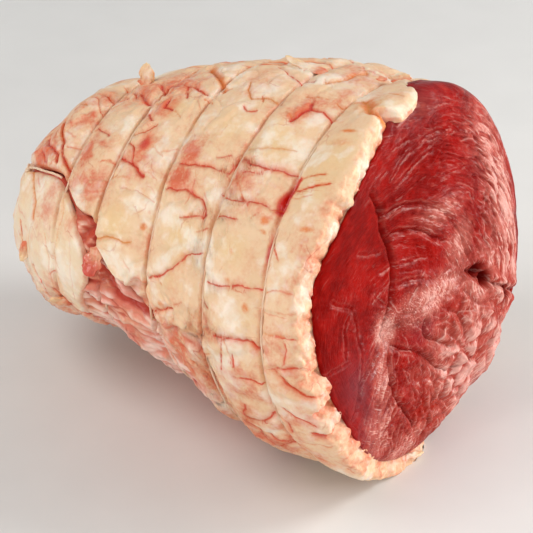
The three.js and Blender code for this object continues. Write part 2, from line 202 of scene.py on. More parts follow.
def per_degree(distance):
    """Millimetres round the joint in one degree."""
    return np.radians(along(STATIONS, np.minimum(distance, LAST_BAND), 4))


def in_place(marks):
    """Marks of (along, angle) in millimetres along and round the joint."""
    return [(m, angle * float(per_degree(np.array([m]))[0])) for m, angle in marks]


def to_twine(distance):
    """How far along the nearest twine is."""
    return np.min([np.abs(distance - at) for at in TWINE_AT], axis=0)


def groove(distance):
    """1 in the bottom of a twine groove, 0 on the bands between."""
    return 1 - ramp(to_twine(distance), GROOVE_FLAT, GROOVE_EDGE)


def grain(points, size, octaves=2, seed=0.0):
    """Random height at each point, about -1 to 1, in lumps of that size."""
    offset = Vector((seed * 17.3, seed * 5.1, seed * 9.7))
    return np.array([
        noise.fractal(Vector(p) + offset, 1.0, 2.0, octaves) for p in (points / size).tolist()])


def drift(points, size, seeds):
    """A random shift of each point, one seed for each direction."""
    return np.stack([grain(points, size, 2, seed) for seed in seeds], -1)


def cell_noise(points, size, seed):
    """The nearest random cells of each point: how far off they are and where."""
    offset = Vector((seed * 3.7, seed * 8.9, seed * 2.3))
    return [noise.voronoi(Vector(p) + offset) for p in (points / size).tolist()]


def cells(points, size, seed=0.0):
    """Distance to the gaps between random cells, 0 in a gap and about 1 in the middle."""
    nearest = np.array([distances[:2] for distances, _ in cell_noise(points, size, seed)])
    return np.clip(nearest[:, 1] - nearest[:, 0], 0, 1)


def plates(points, size, seed=0.0):
    """Overlapping plates: distance to the nearest joint between them, and a level for each."""
    found = cell_noise(points, size, seed)
    joint = np.array([distances[1] - distances[0] for distances, _ in found])
    level = np.array([noise.noise(Vector(centres[0]) * 7.3) for _, centres in found])
    return joint, level * ramp(joint, 0, 0.12)


def line_field(x, y, marks, reach):
    """Points within reach of a line through the marks: which they are, how far off, the same
    with a sign for the side they are on, and how far they lie past the line's ends."""
    xs, ys = zip(*marks)
    near = np.flatnonzero((x > min(xs) - reach) & (x < max(xs) + reach)
                          & (y > min(ys) - reach) & (y < max(ys) + reach))
    away = np.full(near.shape, 1e3)
    side, past = away.copy(), np.zeros(near.shape)
    for (x0, y0), (x1, y1) in zip(marks[:-1], marks[1:]):
        px, py = x[near] - x0, y[near] - y0
        length = max(math.hypot(x1 - x0, y1 - y0), 1e-6)
        dx, dy = (x1 - x0) / length, (y1 - y0) / length
        ahead, across = px * dx + py * dy, py * dx - px * dy
        beyond = np.maximum(np.maximum(-ahead, ahead - length), 0)
        distance = np.hypot(across, beyond)
        closer = distance < away
        side = np.where(closer, np.copysign(distance, across), side)
        past = np.where(closer, beyond, past)
        away = np.where(closer, distance, away)
    return near, away, side, past


def line_distance(x, y, marks, reach):
    """Distance of every point to a line, large where it is out of reach."""
    away = np.full(x.shape, 1e3)
    near, found, _, _ = line_field(x, y, marks, reach)
    away[near] = found
    return away


def blank_lines(x):
    """Fine lines for a surface that has none yet: far away, and of no strength."""
    return np.stack([np.full(x.shape, 9.0), np.zeros(x.shape), np.zeros(x.shape)], -1)


def draw_line(lines, near, side, past, amounts):
    """Keeps the closest fine line of each point: its signed distance and two strengths."""
    shown = (1 - ramp(past, 0.1, 1.5)) * (1 - ramp(np.abs(side), 1.5, 2.5))
    closer = np.abs(side) < np.abs(lines[near, 0])
    rows = near[closer]
    lines[rows, 0] = side[closer]
    for column, amount in enumerate(amounts, 1):
        lines[rows, column] = amount * shown[closer]


def bell(away):
    """1 at no distance, fading to nothing by about 2."""
    return np.exp(-away * away)


def strongest(*layers):
    """The highest of several layers at each point."""
    return np.maximum.reduce(layers)


def spots(x, y, rows, step=1.0):
    """How strongly soft oval spots mark each point; step turns a row's angle into millimetres."""
    amount = np.zeros(x.shape)
    for x0, y0, long, wide, strength in rows:
        away = np.hypot((x - x0) / long, (y - y0 * step) / wide)
        amount = np.maximum(amount, strength * bell(away))
    return amount


def crack(pick, start, level, slant, length, squash, shake):
    """Three marks of a short slanting crack, each a little out of line."""
    return [(start + t * length * math.cos(slant),
             level + t * length * math.sin(slant) / squash + pick.uniform(-shake, shake))
            for t in (0, 0.5, 1)]


def rounding(edge, radius):
    """0 at a free edge and 1 a radius inside it, rising as a round edge does."""
    return np.sqrt(1 - (1 - np.clip(edge / radius, 0, 1)) ** 2)


def clear_board(points, height):
    """Lifts the points that would lie lower than that over the board."""
    points[:, 2] = np.maximum(points[:, 2], height)


# ---- creases and stains of the fat: marks (along, angle), depth, half width, red, amber ----

CREASES = [
    # between the cut edge and the second twine
    ([(28, 72.5), (26.5, 74), (24, 78), (25.5, 81)], 1.3, 1.1, 1.0, 0.0),
    ([(24, 78), (19, 79), (13, 77)], 1.0, 0.9, 0.8, 0.1),
    ([(29, 91), (27, 94), (25, 98), (25, 102), (23, 104)], 1.4, 1.0, 0.1, 0.8),
    ([(18, 84), (14, 83), (13, 86), (9, 87)], 0.8, 0.8, 0.2, 0.5),
    ([(9.5, 87), (6, 83), (4, 81), (0, 80), (-4, 81)], 2.4, 1.1, 0.0, 1.0),
    ([(38, 59.5), (30, 62), (24, 63), (18, 64)], 0.6, 0.7, 0.0, 0.45),
    ([(38, 56), (33, 55.5), (26, 56), (19, 57), (13, 57)], 1.7, 1.1, 0.75, 0.15),
    ([(37, 51.5), (32, 53), (26, 54)], 0.6, 0.8, 0.6, 0.0),
    ([(39, 44.5), (34, 44), (27, 45), (19, 46), (14, 46)], 1.3, 1.0, 0.6, 0.3),
    ([(38, 38), (29, 40)], 0.8, 0.8, 0.6, 0.1),
    ([(36, 20), (31, 20), (22, 23), (14, 23.5)], 1.0, 0.9, 0.55, 0.1),
    ([(38, 3.5), (32, 5.5), (24, 7), (20, 7.5), (16, 7.5), (13, 6)], 1.7, 1.1, 0.75, 0.2),
    ([(28, 4), (30, -5)], 0.7, 0.7, 0.45, 0.0),
    ([(23, 2.5), (23.5, -2)], 0.7, 0.7, 0.5, 0.0),
    ([(24, -5.5), (18, -4.2), (14, -5.5)], 1.0, 0.9, 0.5, 0.2),
    ([(24, -16), (26.5, -22)], 0.9, 0.8, 0.7, 0.1),
    ([(27, -23), (19, -22), (13, -17), (10, -19), (10, -24)], 1.7, 1.1, 0.6, 0.25),
    ([(34, -24), (28, -26), (23, -27.5), (26, -34), (25, -41), (14, -34)], 1.4, 1.1, 0.7, 0.1),
    ([(21, -29), (19, -34), (8, -30)], 1.2, 1.0, 0.6, 0.1),
    ([(39, 13.5), (35, 12.5)], 0.9, 0.8, 0.4, 0.0),
    # the cut edge's own band
    ([(12.5, 53), (9, 52.6), (4, 54)], 0.6, 0.5, 0.75, 0.7),
    ([(12, 55), (9.5, 56.6), (6, 57.4)], 0.4, 0.45, 0.5, 0.7),
    ([(12, 50.5), (9.5, 49.6), (7, 50.2)], 0.3, 0.4, 0.3, 0.5),
    ([(12, 23), (7, 24), (3, 23)], 0.6, 0.8, 0.3, 0.25),
    ([(14, 18), (9.5, 17), (4, 16)], 0.8, 0.8, 0.2, 0.1),
    ([(7, 11), (2, 10)], 0.7, 0.8, 0.5, 0.0),
    ([(5, 9.5), (5, 3)], 0.7, 0.8, 0.4, 0.0),
    ([(9, 1), (4, 1.2), (0, 1.5), (-4, 5)], 1.3, 1.0, 0.65, 0.15),
    ([(8, 1), (6, -3.5), (2, -7), (-4, -11)], 1.9, 1.2, 0.6, 0.3),
    ([(9, -12), (6, -15), (3, -17)], 0.8, 0.8, 0.5, 0.1),
    ([(4, -21), (0, -22), (-5, -20)], 1.6, 1.2, 0.85, 0.1),
    # between the second and third twine
    ([(66, 49), (61, 49.3), (53, 50), (50, 51), (41, 51.5), (39, 57)], 1.4, 1.0, 0.65, 0.15),
    ([(68, 40), (61, 41.5), (55, 42), (48, 41), (44, 38), (44, 36)], 1.5, 1.0, 0.65, 0.1),
    ([(56, 34), (43, 37)], 0.8, 0.8, 0.55, 0.0),
    ([(68, 79.5), (75, 85), (84, 92), (91, 97)], 2.0, 1.3, 0.2, 0.85),
    ([(59, 84), (57, 80), (51.5, 76), (46.5, 78), (43.5, 79), (38.5, 78)], 0.8, 0.8, 0.1, 0.6),
    ([(56, 95), (49, 92), (40, 90), (34, 91)], 1.2, 1.0, 0.5, 0.1),
    ([(41, 27), (45, 26), (52, 21), (61, 15), (68, 11)], 1.4, 0.9, 0.55, 0.15),
    ([(67, 0), (60, 3), (54.5, 6)], 1.8, 1.2, 0.5, 0.35),
    # between the third and fourth twine
    ([(100, 84), (98, 84.5), (94, 83.5), (86, 82), (75, 77)], 1.7, 1.1, 0.6, 0.35),
    ([(90, 83), (84.5, 75.5)], 1.1, 0.9, 0.6, 0.0),
    ([(106, 88), (96, 78), (95.5, 80)], 1.6, 1.1, 0.7, 0.1),
    ([(91, 73.5), (91, 70), (86, 69)], 1.2, 1.0, 0.85, 0.1),
    ([(96.5, 67.5), (92.5, 64)], 1.3, 1.0, 0.7, 0.1),
    ([(97, 59), (92, 60), (89, 61.5)], 1.3, 1.1, 0.4, 0.4),
    ([(98, 48), (92, 46.5), (87, 44), (82.5, 43)], 1.6, 1.0, 0.85, 0.05),
    ([(97.5, 55), (94, 53), (92, 47)], 1.2, 0.9, 0.6, 0.2),
    ([(91, 37.2), (83, 36.8), (73, 35)], 0.9, 0.9, 0.15, 0.15),
    ([(97.5, 16.5), (92, 18), (80, 20)], 1.2, 0.9, 0.05, 0.5),
    # the gathered end
    ([(133.5, 85), (127, 83), (120, 79)], 1.8, 1.2, 0.55, 0.4),
    ([(118, 78.5), (116.8, 79.5), (114, 78.5)], 1.2, 0.9, 0.8, 0.1),
    ([(124.5, 93), (115, 84), (111, 79)], 1.8, 1.2, 0.4, 0.5),
    ([(110.5, 81.5), (101.5, 74)], 1.8, 1.4, 0.8, 0.25),
    ([(136, 83), (130, 80)], 1.2, 1.0, 0.5, 0.3),
    ([(139.5, 79), (133, 75)], 1.0, 1.0, 0.15, 0.6),
    ([(129, 79), (120, 70)], 0.9, 1.0, 0.3, 0.2),
    ([(118, 63), (112, 59), (109, 57.5)], 1.3, 1.0, 0.6, 0.15),
    ([(141, 66), (138, 59), (132.5, 54.5)], 2.6, 1.3, 0.55, 0.5),
    ([(133, 54), (130, 48), (123.5, 43), (121, 41)], 2.2, 1.1, 0.8, 0.15),
    ([(150, 62), (146, 54), (138, 51), (133, 48), (132, 44)], 2.0, 1.1, 0.75, 0.2),
    ([(152, 50), (145, 46), (139, 44)], 1.8, 1.2, 0.7, 0.2),
]

# soft stains and tints: along, angle, half length, half width in mm, amount
BLUSHES = [
    (33, 49, 8, 7, 1.0), (62, 54, 9, 8, 0.85), (63, 45, 9, 5, 0.9), (116, 50, 10, 9, 0.8),
    (110, 36, 13, 9, 0.7), (128, 72, 14, 12, 0.65), (24, 78, 9, 9, 0.8), (15, 88, 9, 8, 0.7),
    (26, 97, 10, 10, 0.6), (95, 85, 14, 10, 0.8), (92, 70, 8, 9, 0.7), (88, 48, 10, 9, 0.65),
    (110, 82, 12, 9, 0.65), (130, 60, 10, 12, 0.45), (145, 52, 12, 12, 0.9), (8, 3, 9, 12, 0.6),
    (5, -16, 9, 10, 0.6), (25, -8, 11, 14, 0.75), (20, -32, 14, 18, 0.85), (33, 8, 5, 6, 0.6),
    (54, 84, 10, 9, 0.45), (60, -6, 24, 12, 0.8), (50, -24, 14, 20, 0.9), (22, 46, 6, 4, 0.5),
    (3, 30, 4, 20, 0.35),
]
BUTTERS = [
    (89, 25, 9, 11, 1.0), (53, 28, 12, 11, 0.9), (57, 15, 9, 7, 0.8), (26, 31, 10, 9, 0.85),
    (109, 48, 7, 8, 0.5), (104, 63, 5, 10, 0.5), (84, 70, 9, 7, 0.8), (52, 34, 9, 5, 0.6),
    (51, 64, 13, 13, 0.7), (28, 65, 11, 9, 0.9), (22, 60, 6, 4, 0.6), (6, 60, 8, 22, 0.85),
    (4, 84, 8, 6, 0.9), (55, 100, 14, 10, 0.6), (84, 100, 9, 9, 0.6), (18, 14, 7, 7, 0.5),
]
BLOODS = [
    (89, 54, 4.2, 4.6, 1.0), (89, 49, 5, 4, 0.45), (33, 47, 4, 4, 0.5), (54, 47, 3, 3, 0.2),
    (108, 82, 7, 4, 0.6), (97, 82, 8, 4, 0.45), (127, 85, 6, 4, 0.45), (92, 72, 4, 4, 0.5),
    (147, 50, 8, 6, 0.6), (26, -24, 6, 4, 0.45), (22, 79, 5, 3, 0.5), (62, 50, 6, 4, 0.3),
    (10, -14, 5, 4, 0.3),
]
AMBERS = [
    (17.5, 42, 1.8, 1.7, 1.0), (16.8, 39, 1.5, 1.0, 0.7), (4.5, 41, 2.2, 1.3, 0.75),
    (27, 31, 1.2, 1.5, 0.6), (27, 23, 1.7, 1.6, 0.65), (61, 12, 1.3, 1.0, 0.6),
    (61.5, 5, 1.5, 1.4, 0.75), (75, 26, 1.7, 1.7, 0.8), (74, 31, 1.2, 1.1, 0.5),
    (5.5, 72, 2.2, 1.0, 0.9), (18.5, 17.2, 1.5, 2.2, 0.8), (6, 68, 4.0, 2.6, 0.45),
    (88, 88, 5, 3, 0.4), (96, 73, 3, 2, 0.5), (6, 46, 4, 2, 0.25), (40, 86, 4, 2, 0.3),
    (140, 62, 4, 4, 0.3),
]

# the torn, blood-wet slit beside the first twine: marks, depth, half width
GASH = ([(13.6, 46), (13.4, 48.8), (12.6, 52), (11.8, 56)], 0.8, 1.6)


def hidden_creases():
    """Creases of the top, back and underside, scattered as thickly as those in front."""
    pick = random.Random(11)
    edges = (1.5,) + TWINE_AT + (LAST_BAND,)
    rows = []
    for start, end in zip(edges[:-1], edges[1:]):
        for low, high, count in ((103, 217, 7), (-104, -42, 4)):
            if low < 0 and start > 30:
                continue
            for _ in range(count):
                level, slope = pick.uniform(low, high), pick.gauss(0, 7)
                first = mix(start, end, pick.choice((0, pick.uniform(0.1, 0.5))))
                last = mix(start, end, pick.choice((1, pick.uniform(0.55, 0.9))))
                marks = [(mix(first, last, t), level + slope * t + pick.uniform(-2.5, 2.5))
                         for t in (0, 0.3, 0.6, 1)]
                depth = pick.uniform(0.5, 1.8)
                blood, gold = pick.uniform(0.05, 0.65), pick.uniform(0, 0.6)
                rows.append((marks, depth, pick.uniform(0.7, 1.1), blood, gold))
                if pick.random() < 0.5:
                    m, angle = marks[pick.choice((1, 2))]
                    away = pick.choice((-1, 1)) * pick.uniform(5, 9)
                    branch = [(m, angle), (m + pick.gauss(0, 2), angle + away / 2),
                              (m + pick.gauss(0, 3), angle + away)]
                    rows.append((branch, 0.7 * depth, 0.9, blood, gold))
    return rows


def small_creases():
    """Short fine cracks scattered over the sheet, fewer on its smooth yellow plates."""
    pick = random.Random(23)
    rows = []
    for _ in range(SMALL_CREASES):
        start, level = pick.uniform(1, 150), pick.uniform(-100, 216)
        slant, length = pick.gauss(0, 0.6), pick.uniform(2.5, 9)
        depth, half = pick.uniform(0.15, 0.6), pick.uniform(0.45, 0.7)
        blood, gold = pick.uniform(0.05, 0.55), pick.uniform(0, 0.6)
        if any(math.hypot((start - m) / long, (level - angle) * 1.2 / wide) < 0.9
               for m, angle, long, wide, _ in BUTTERS):
            continue
        rows.append((crack(pick, start, level, slant, length, 1.2, 0.5), depth, half, blood, gold))
    return rows


def hidden_stains(seed, amount):
    """Soft stains of the top, back and underside."""
    pick = random.Random(seed)
    return [(pick.uniform(5, 150), pick.uniform(106, 216), pick.uniform(6, 14), pick.uniform(6, 14),
             amount * pick.uniform(0.5, 1)) for _ in range(HIDDEN_STAINS)]


def wobble(points, size, height, seed):
    """Two random shifts of each point, along and round the joint."""
    return height * grain(points, size, 2, seed), height * grain(points, size, 2, seed + 5)


def surface_marks(m, degrees, creases):
    """What creases give the fat: relief, a red and an amber haze, and the fine lines themselves."""
    step = per_degree(m)
    base = skin(m, degrees, 0)
    shift_m, shift_y = wobble(base, 7, 0.9, 1)
    small_m, small_y = wobble(base, 2.2, 0.3, 9)
    x, y = m + shift_m + small_m, degrees * step + shift_y + small_y
    height, red, amber = np.zeros(m.shape), np.zeros(m.shape), np.zeros(m.shape)
    lines = blank_lines(m)
    for marks, depth, half, blood, gold in creases:
        near, away, side, past = line_field(x, y, in_place(marks), 8 * half)
        fade = 1 - ramp(past, 0, 2.2)
        ratio = away / half
        step_up = (0.24 * depth * np.sign(side) * (1 - np.exp(-away / 0.5)) * np.exp(-away / 3)
                   * fade)
        height[near] = (np.minimum(height[near], -0.75 * depth * np.exp(-ratio ** 1.4))
                        + 0.26 * depth * bell((ratio - 2.5) / 1.3) + step_up)
        red_haze = blood * fade * (0.62 * bell(ratio / 0.8) + 0.5 * bell(ratio / 3.9))
        amber_haze = gold * fade * (0.5 * bell(ratio / 1.1) + 0.4 * bell(ratio / 3.2))
        red[near] = np.maximum(red[near], red_haze)
        amber[near] = np.maximum(amber[near], amber_haze)
        shown = min(1, depth / 0.9)
        draw_line(lines, near, side, past, (blood * shown, gold * shown))
    return height, red, amber, lines


def membrane(points):
    """Thin folds of skin between the muscles, mostly along the joint: height about -1 to 1."""
    bent = points * (0.2, 1, 1) + 1.3 * drift(points, 12, (73, 74, 75))
    broad = 1 - 2.6 * np.abs(grain(bent, 6.5, 2, 71))
    narrow = 1 - 2.6 * np.abs(grain(bent, 2.6, 2, 72))
    return 0.6 * np.maximum(broad, -1) + 0.3 * np.maximum(narrow, -1)


def puckers(m, degrees, seed):
    """Folds running in to the middle of the gathered end: height about -1 to 1."""
    turn = np.radians(degrees)
    ring = np.stack([2.4 * np.cos(turn), 2.4 * np.sin(turn), m / 26], -1)
    return np.clip(1 - 3.2 * np.abs(grain(ring, 1, 2, seed)), -1, 1) * ramp(m, 132, 156)


def twine_puckers(base, nearest, width):
    """Small gathers on both sides of a twine."""
    return bell((nearest - 2) / width) * 0.5 * grain(base * (0.5, 1, 1), 5.5, 2, 3)


def fat_surface(m, degrees):
    """Height of the fat over the smooth skin, its tints and its fine lines.

    The tints are blush, butter, blood and amber.
    """
    degrees = front_angle(degrees)
    base = skin(m, degrees, 0)
    step = per_degree(m)
    y = degrees * step
    height, red, amber, lines = surface_marks(
        m, degrees, CREASES + hidden_creases() + small_creases())
    sunk = groove(m)
    cell, plate = plates(base + 2.2 * drift(base, 9, (61, 62, 63)), 17, 2)

    # the bands belly out between the twines and pucker where the twine pulls them in
    edges = np.array((0,) + TWINE_AT + (LAST_BAND,), float)
    i = np.clip(np.searchsorted(edges, m) - 1, 0, len(edges) - 2)
    share = np.clip((m - edges[i]) / (edges[i + 1] - edges[i]), 0, 1)
    belly = 0.7 * np.sin(np.pi * share)
    nearest = to_twine(m)
    shoulder = 1 - ramp(nearest, 0.6, SHOULDER_EDGE)
    pucker = twine_puckers(base, nearest, 2.0)
    broad = 1.1 * grain(base, 24, 2, 1)
    small = 0.4 * grain(base, 7, 3, 2)
    fine = 0.08 * grain(base, 1.7, 2, 4)
    plate = 0.8 * plate - 0.4 * bell(cell / 0.07)
    band = BAND_SWELL + belly + broad + small + height + plate - 0.9 * shoulder
    floor = -GROOVE_DEPTH + 0.35 * height + 0.35 * grain(base, 5, 2, 14)
    out = mix(band, floor, sunk) + pucker + fine

    # the sheet thins to a membrane low down in front
    edge = along(MEMBRANE_EDGE, m) + 3.0 * grain(base, 9, 2, 8) / step
    below = (edge - degrees) * step
    thin = ramp(below, -0.4, 1.4) * ramp(m, 27, 31) * (1 - ramp(m, 100, 104))
    folds = membrane(base)
    out = out - thin * (2.3 - 1.1 * folds * (1 - 0.7 * sunk))
    out = out + 0.8 * bell((below + 1.4) / 1.2) * (1 - sunk) * ramp(m, 29, 33)

    # it sags in a soft bulge under the membrane, and puckers at the gathered end
    out = out + 6.0 * bell((m - 53) / 9) * bell((degrees + 33) / 11)
    gather = puckers(m, degrees, 76)
    out = out + 1.1 * gather

    # the slit by the first twine
    marks, depth, half = GASH
    width = half * mix(1.3, 0.6, ramp(degrees, 46, 57))
    open_at = line_distance(m, y, in_place(marks), 12) / width
    out = out - depth * bell(open_at) * (1 - 0.4 * sunk)

    patchy = np.clip(0.95 + 1.3 * grain(base * (0.6, 1, 1), 7, 5, 79), 0.1, 1.2)
    pinched = bell((nearest - 0.4) / 1.1)
    membrane_side = bell(below) * ramp(m, 29, 33) * (1 - ramp(m, 97, 101))
    blush = strongest(
        spots(m, y, BLUSHES + hidden_stains(5, 0.9), step) * patchy, 0.3 * pinched,
        thin * (0.8 - 0.35 * np.clip(folds, 0, 1)), 0.9 * np.abs(gather))
    butter = spots(m, y, BUTTERS + hidden_stains(6, 0.9), step)
    blood = strongest(
        red, spots(m, y, BLOODS, step), 1.6 * bell(open_at / 1.1), 0.6 * membrane_side,
        0.75 * thin * ramp(-folds, -0.15, 0.6), 0.6 * ramp(-gather, 0.1, 0.9),
        0.4 * pinched * ramp(grain(base, 13, 1, 12), 0.05, 0.4),
        1.2 * bell((m - 13.4) / 0.9) * bell((degrees - 34) / 5))
    amber = strongest(amber, spots(m, y, AMBERS, step))
    lines[:, 1:] *= (1 - 0.6 * thin)[:, None]
    return out, np.stack([blush, butter, blood, amber], -1), lines


def wrap_depth(m, degrees):
    """Thickness of the fat, from its skin to the meat."""
    settled = WRAP_THICKNESS * mix(1, 0.75, ramp(m, 60, 140))
    return mix(around(RIM_THICKNESS, degrees), settled, ramp(m, 2, 30))


def cut_shift(m, degrees, reach):
    """How far forward the cut end is carried, by angle."""
    return around(reach, degrees) * (1 - ramp(m, 0, 12))


# ---- making a piece ----

def add_object(name, data):
    """A new object in the scene, at the origin."""
    thing = bpy.data.objects.new(name, data)
    bpy.context.scene.collection.objects.link(thing)
    return thing


def finish_piece(bm, name, place, material, sharp=None):
    """Turns a flat bmesh into a placed piece: place gives each vertex its point and its tints."""
    mesh = bpy.data.meshes.new(name)
    bm.to_mesh(mesh)
    bm.free()
    flat = np.empty(len(mesh.vertices) * 3)
    mesh.vertices.foreach_get("co", flat)
    points, tints = place(flat.reshape(-1, 3))
    mesh.vertices.foreach_set("co", ((points + TO_MIDDLE) * 0.001).ravel())
    for key, values in tints.items():
        kind = "FLOAT_COLOR" if values.shape[-1] == 4 else "FLOAT_VECTOR"
        attribute = mesh.attributes.new(key, kind, "POINT")
        attribute.data.foreach_set("color" if kind == "FLOAT_COLOR" else "vector",
                                   np.clip(values, -4, 4).astype(np.float32).ravel())
    mesh.calc_loop_triangles()
    corners = np.empty(len(mesh.loop_triangles) * 3, np.int32)
    mesh.loop_triangles.foreach_get("vertices", corners)
    a, b, c = points[corners].reshape(-1, 3, 3).transpose(1, 0, 2)
    if np.einsum("ij,ij->i", a, np.cross(b, c)).sum() < 0:
        mesh.flip_normals()
    mesh.shade_smooth()
    if sharp:
        mesh.set_sharp_from_angle(angle=math.radians(sharp))
    mesh.update()
    piece = add_object(name, mesh)
    mesh.materials.append(material)
    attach(piece, "root")
    return piece


def two_layers(columns, rows):
    """A unit grid with a coarser copy behind it, welded round the border.

    x is the share round, y the share along, z is 1 on the outer layer and 0 on the inner.
    """
    bm = bmesh.new()
    bmesh.ops.create_grid(bm, x_segments=columns, y_segments=rows, size=0.5)
    bmesh.ops.translate(bm, verts=bm.verts, vec=(0.5, 0.5, 0))
    inner = list(bm.verts)
    raised = bmesh.ops.extrude_face_region(bm, geom=bm.faces[:], use_keep_orig=True)
    outer = [part for part in raised["geom"] if isinstance(part, bmesh.types.BMVert)]
    bmesh.ops.translate(bm, verts=outer, vec=(0, 0, 1))
    inside = [v for v in inner if 1e-4 < v.co.x < 1 - 1e-4 and 1e-4 < v.co.y < 1 - 1e-4]
    bmesh.ops.unsubdivide(bm, verts=inside, iterations=4)
    bmesh.ops.recalc_face_normals(bm, faces=bm.faces[:])
    return bm


# share of the front sheet's rows that make its cut rim, and the radius of the rim's corner
RIM_SHARE = 0.1
CORNER = 2.1
SPREAD_SAMPLES = 1601


def spread_rows(share, first, last):
    """Distance along for each share of the rows, which crowd together at the twines."""
    m = np.linspace(first, last, SPREAD_SAMPLES)
    crowding = 1.4 * sum(bell((m - at) / 2.0) for at in TWINE_AT) + 2.5 * ramp(m, 148, 160)
    total = np.cumsum(1 + crowding)
    return np.interp(share, (total - total[0]) / (total[-1] - total[0]), m)


def wrap_place(flat, first, last):
    """Places a stretch of the fat sheet; the first stretch starts inside the rim of the cut."""
    x, y, z = flat.T
    outer = z > 0.5
    rim_rows = RIM_SHARE if first < 1 else 0
    q = spread_rows(np.clip((y - rim_rows) / (1 - rim_rows), 0, 1), first, last)
    q = np.where(y < rim_rows, y / RIM_SHARE - 1, q)
    m_nominal = np.maximum(q, 0)
    turn = x * (0.66 + 0.34 * x)
    front, back = along(FRONT_EDGE, m_nominal), along(BACK_EDGE, m_nominal)
    degrees = mix(front, back, turn)
    thick = wrap_depth(m_nominal, degrees)
    q = np.where(q < 0, q * (thick + 0.8), q)
    root = np.sqrt(q * q + CORNER ** 2)
    lining = np.where(q < 0, 0.2 + 4 * y / RIM_SHARE, np.maximum(q, 4.2))
    m = np.minimum(np.where(outer, (q + root) / 2, lining), SHEET_END)
    over = np.where(outer, (root - q) / 2, 0)
    surface, tint, lines = fat_surface(m, degrees)
    base = skin(m, degrees, 0)
    rim = 1 - ramp(q, -1, 2)
    low = ramp(q, -2, -thick)
    spot = base + over[:, None] * (0.9, 0.6, 0.8)
    cut_noise = grain(spot, 3.2, 3, 21)
    reach = cut_shift(m, degrees, RIM_REACH)
    torn = 1 - ramp(cells(spot + 1.5 * grain(spot, 4, 2, 25)[:, None], 9, 26), 0.0, 0.2)
    torn = torn * (1 - bell((degrees - 90) / 9))
    turned = front_angle(degrees)
    nicked = sum(depth * bell((turned - at) / half) for at, half, depth in RIM_NICKS)
    jag = 0.9 * grain(base, 10, 2, 22) + 0.45 * grain(spot, 3.4, 3, 23) - 0.7 * torn - nicked
    jag = jag * (1 - ramp(m, 1, 6))
    forward = reach + jag * np.where(outer, 1, 0.3) + 0.3 * cut_noise * rim * outer
    droop = LIP_DROOP * np.maximum(reach - 6, 0)

    # free edges are rounded over from the outer face to the inner one
    step = per_degree(m)
    edge = np.minimum.reduce([(degrees - front) * step, (back - degrees) * step,
                              (SHEET_END - q) * 2.5])
    round_off = rounding(edge, WRAP_ROUNDING)
    middle = -0.62 * thick
    face = surface * (1 - 0.5 * rim) - over + 0.8 * cut_noise * low
    out = mix(middle, np.where(outer, face, -thick), round_off)
    out = np.maximum(out, -thick - 0.6) - droop
    points = skin(m, degrees, out, forward)
    clear_board(points, np.where(outer, 1.2 * groove(m), BOARD_GAP))

    # the rim is paler, and stained where it meets the meat
    blush, butter, blood, amber = tint.T
    cut = outer * rim
    stained = cut * ramp(over, 0.55 * thick, thick) * ramp(cut_noise, -0.6, 0.3)
    blush = strongest(
        blush * (1 - 0.4 * rim) + 0.3 * cut, 0.7 * (1 - ramp(edge, 0, 4)),
        0.45 * cut * ramp(over, 0.4 * thick, 0.9 * thick))
    butter = strongest(butter * (1 - rim), 0.4 * rim * ramp(degrees, 20, 50))
    blood = strongest(
        blood * mix(1, 0.5, rim), 0.6 * stained,
        0.5 * outer * np.clip(nicked / 2, 0, 1) * (1 - ramp(m, 1, 5)))
    lines[:, 1:] *= (1 - 0.7 * rim)[:, None]
    return points, {"tint": np.stack([blush, butter, blood, amber], -1), "crease": lines}


# ---- the pale flap folded over the gathered end ----

FLAP_CREASES = [
    ([(119, 30), (117.5, 24), (118.5, 12), (121, 4), (119, -12)], 0.7, 1.6, 0.05, 0.35),
    ([(152, 38), (146, 30), (138, 24), (137, 16)], 1.2, 1.3, 0.1, 0.6),
    ([(138, 14), (141, 2), (136, -10)], 0.6, 1.3, 0.1, 0.25),
    ([(127, 12), (124, -2), (123, -18)], 0.7, 1.2, 0.1, 0.3),
    ([(112, 14), (110, 4), (111, -10)], 0.6, 1.1, 0.15, 0.15),
    ([(136, -8), (130, -22), (128, -38)], 1.4, 1.4, 0.4, 0.3),
    ([(150, 2), (147, -14), (141, -30)], 1.1, 1.4, 0.3, 0.35),
    ([(124, -18), (117, -26), (111, -30)], 1.6, 1.3, 0.6, 0.2),
    ([(134, -22), (124, -32), (113, -38)], 1.6, 1.3, 0.5, 0.3),
    ([(128, -44), (125, -70), (127, -100)], 1.4, 1.5, 0.45, 0.2),
    ([(140, -60), (138, -90), (140, -120)], 1.5, 1.5, 0.45, 0.2),
    ([(117, -30), (116, -60), (117, -90)], 1.2, 1.3, 0.5, 0.2),
]


def small_flap_creases():
    """Short fine cracks scattered over the flap."""
    pick = random.Random(37)
    rows = []
    for _ in range(FLAP_CRACKS):
        start, level = pick.uniform(112, 156), pick.uniform(-165, 34)
        slant, length = 1.5 + pick.gauss(0, 0.9), pick.uniform(3, 9)
        rows.append((crack(pick, start, level, slant, length, 1, 0.7), pick.uniform(0.1, 0.5),
                     pick.uniform(0.5, 0.8), pick.uniform(0, 0.5), pick.uniform(0, 0.4)))
    return rows


def flap_gap(m):
    """Degrees between the flap and the free edges of the sheet."""
    return FLAP_GAP * mix(1, 1.5, ramp(m, 130, 158))


def flap_angle(m, share):
    """Angle on the flap, by its share of the way from the back edge to the front one."""
    return mix(along(BACK_EDGE, m) - 360 + flap_gap(m), along(FRONT_EDGE, m) - flap_gap(m), share)


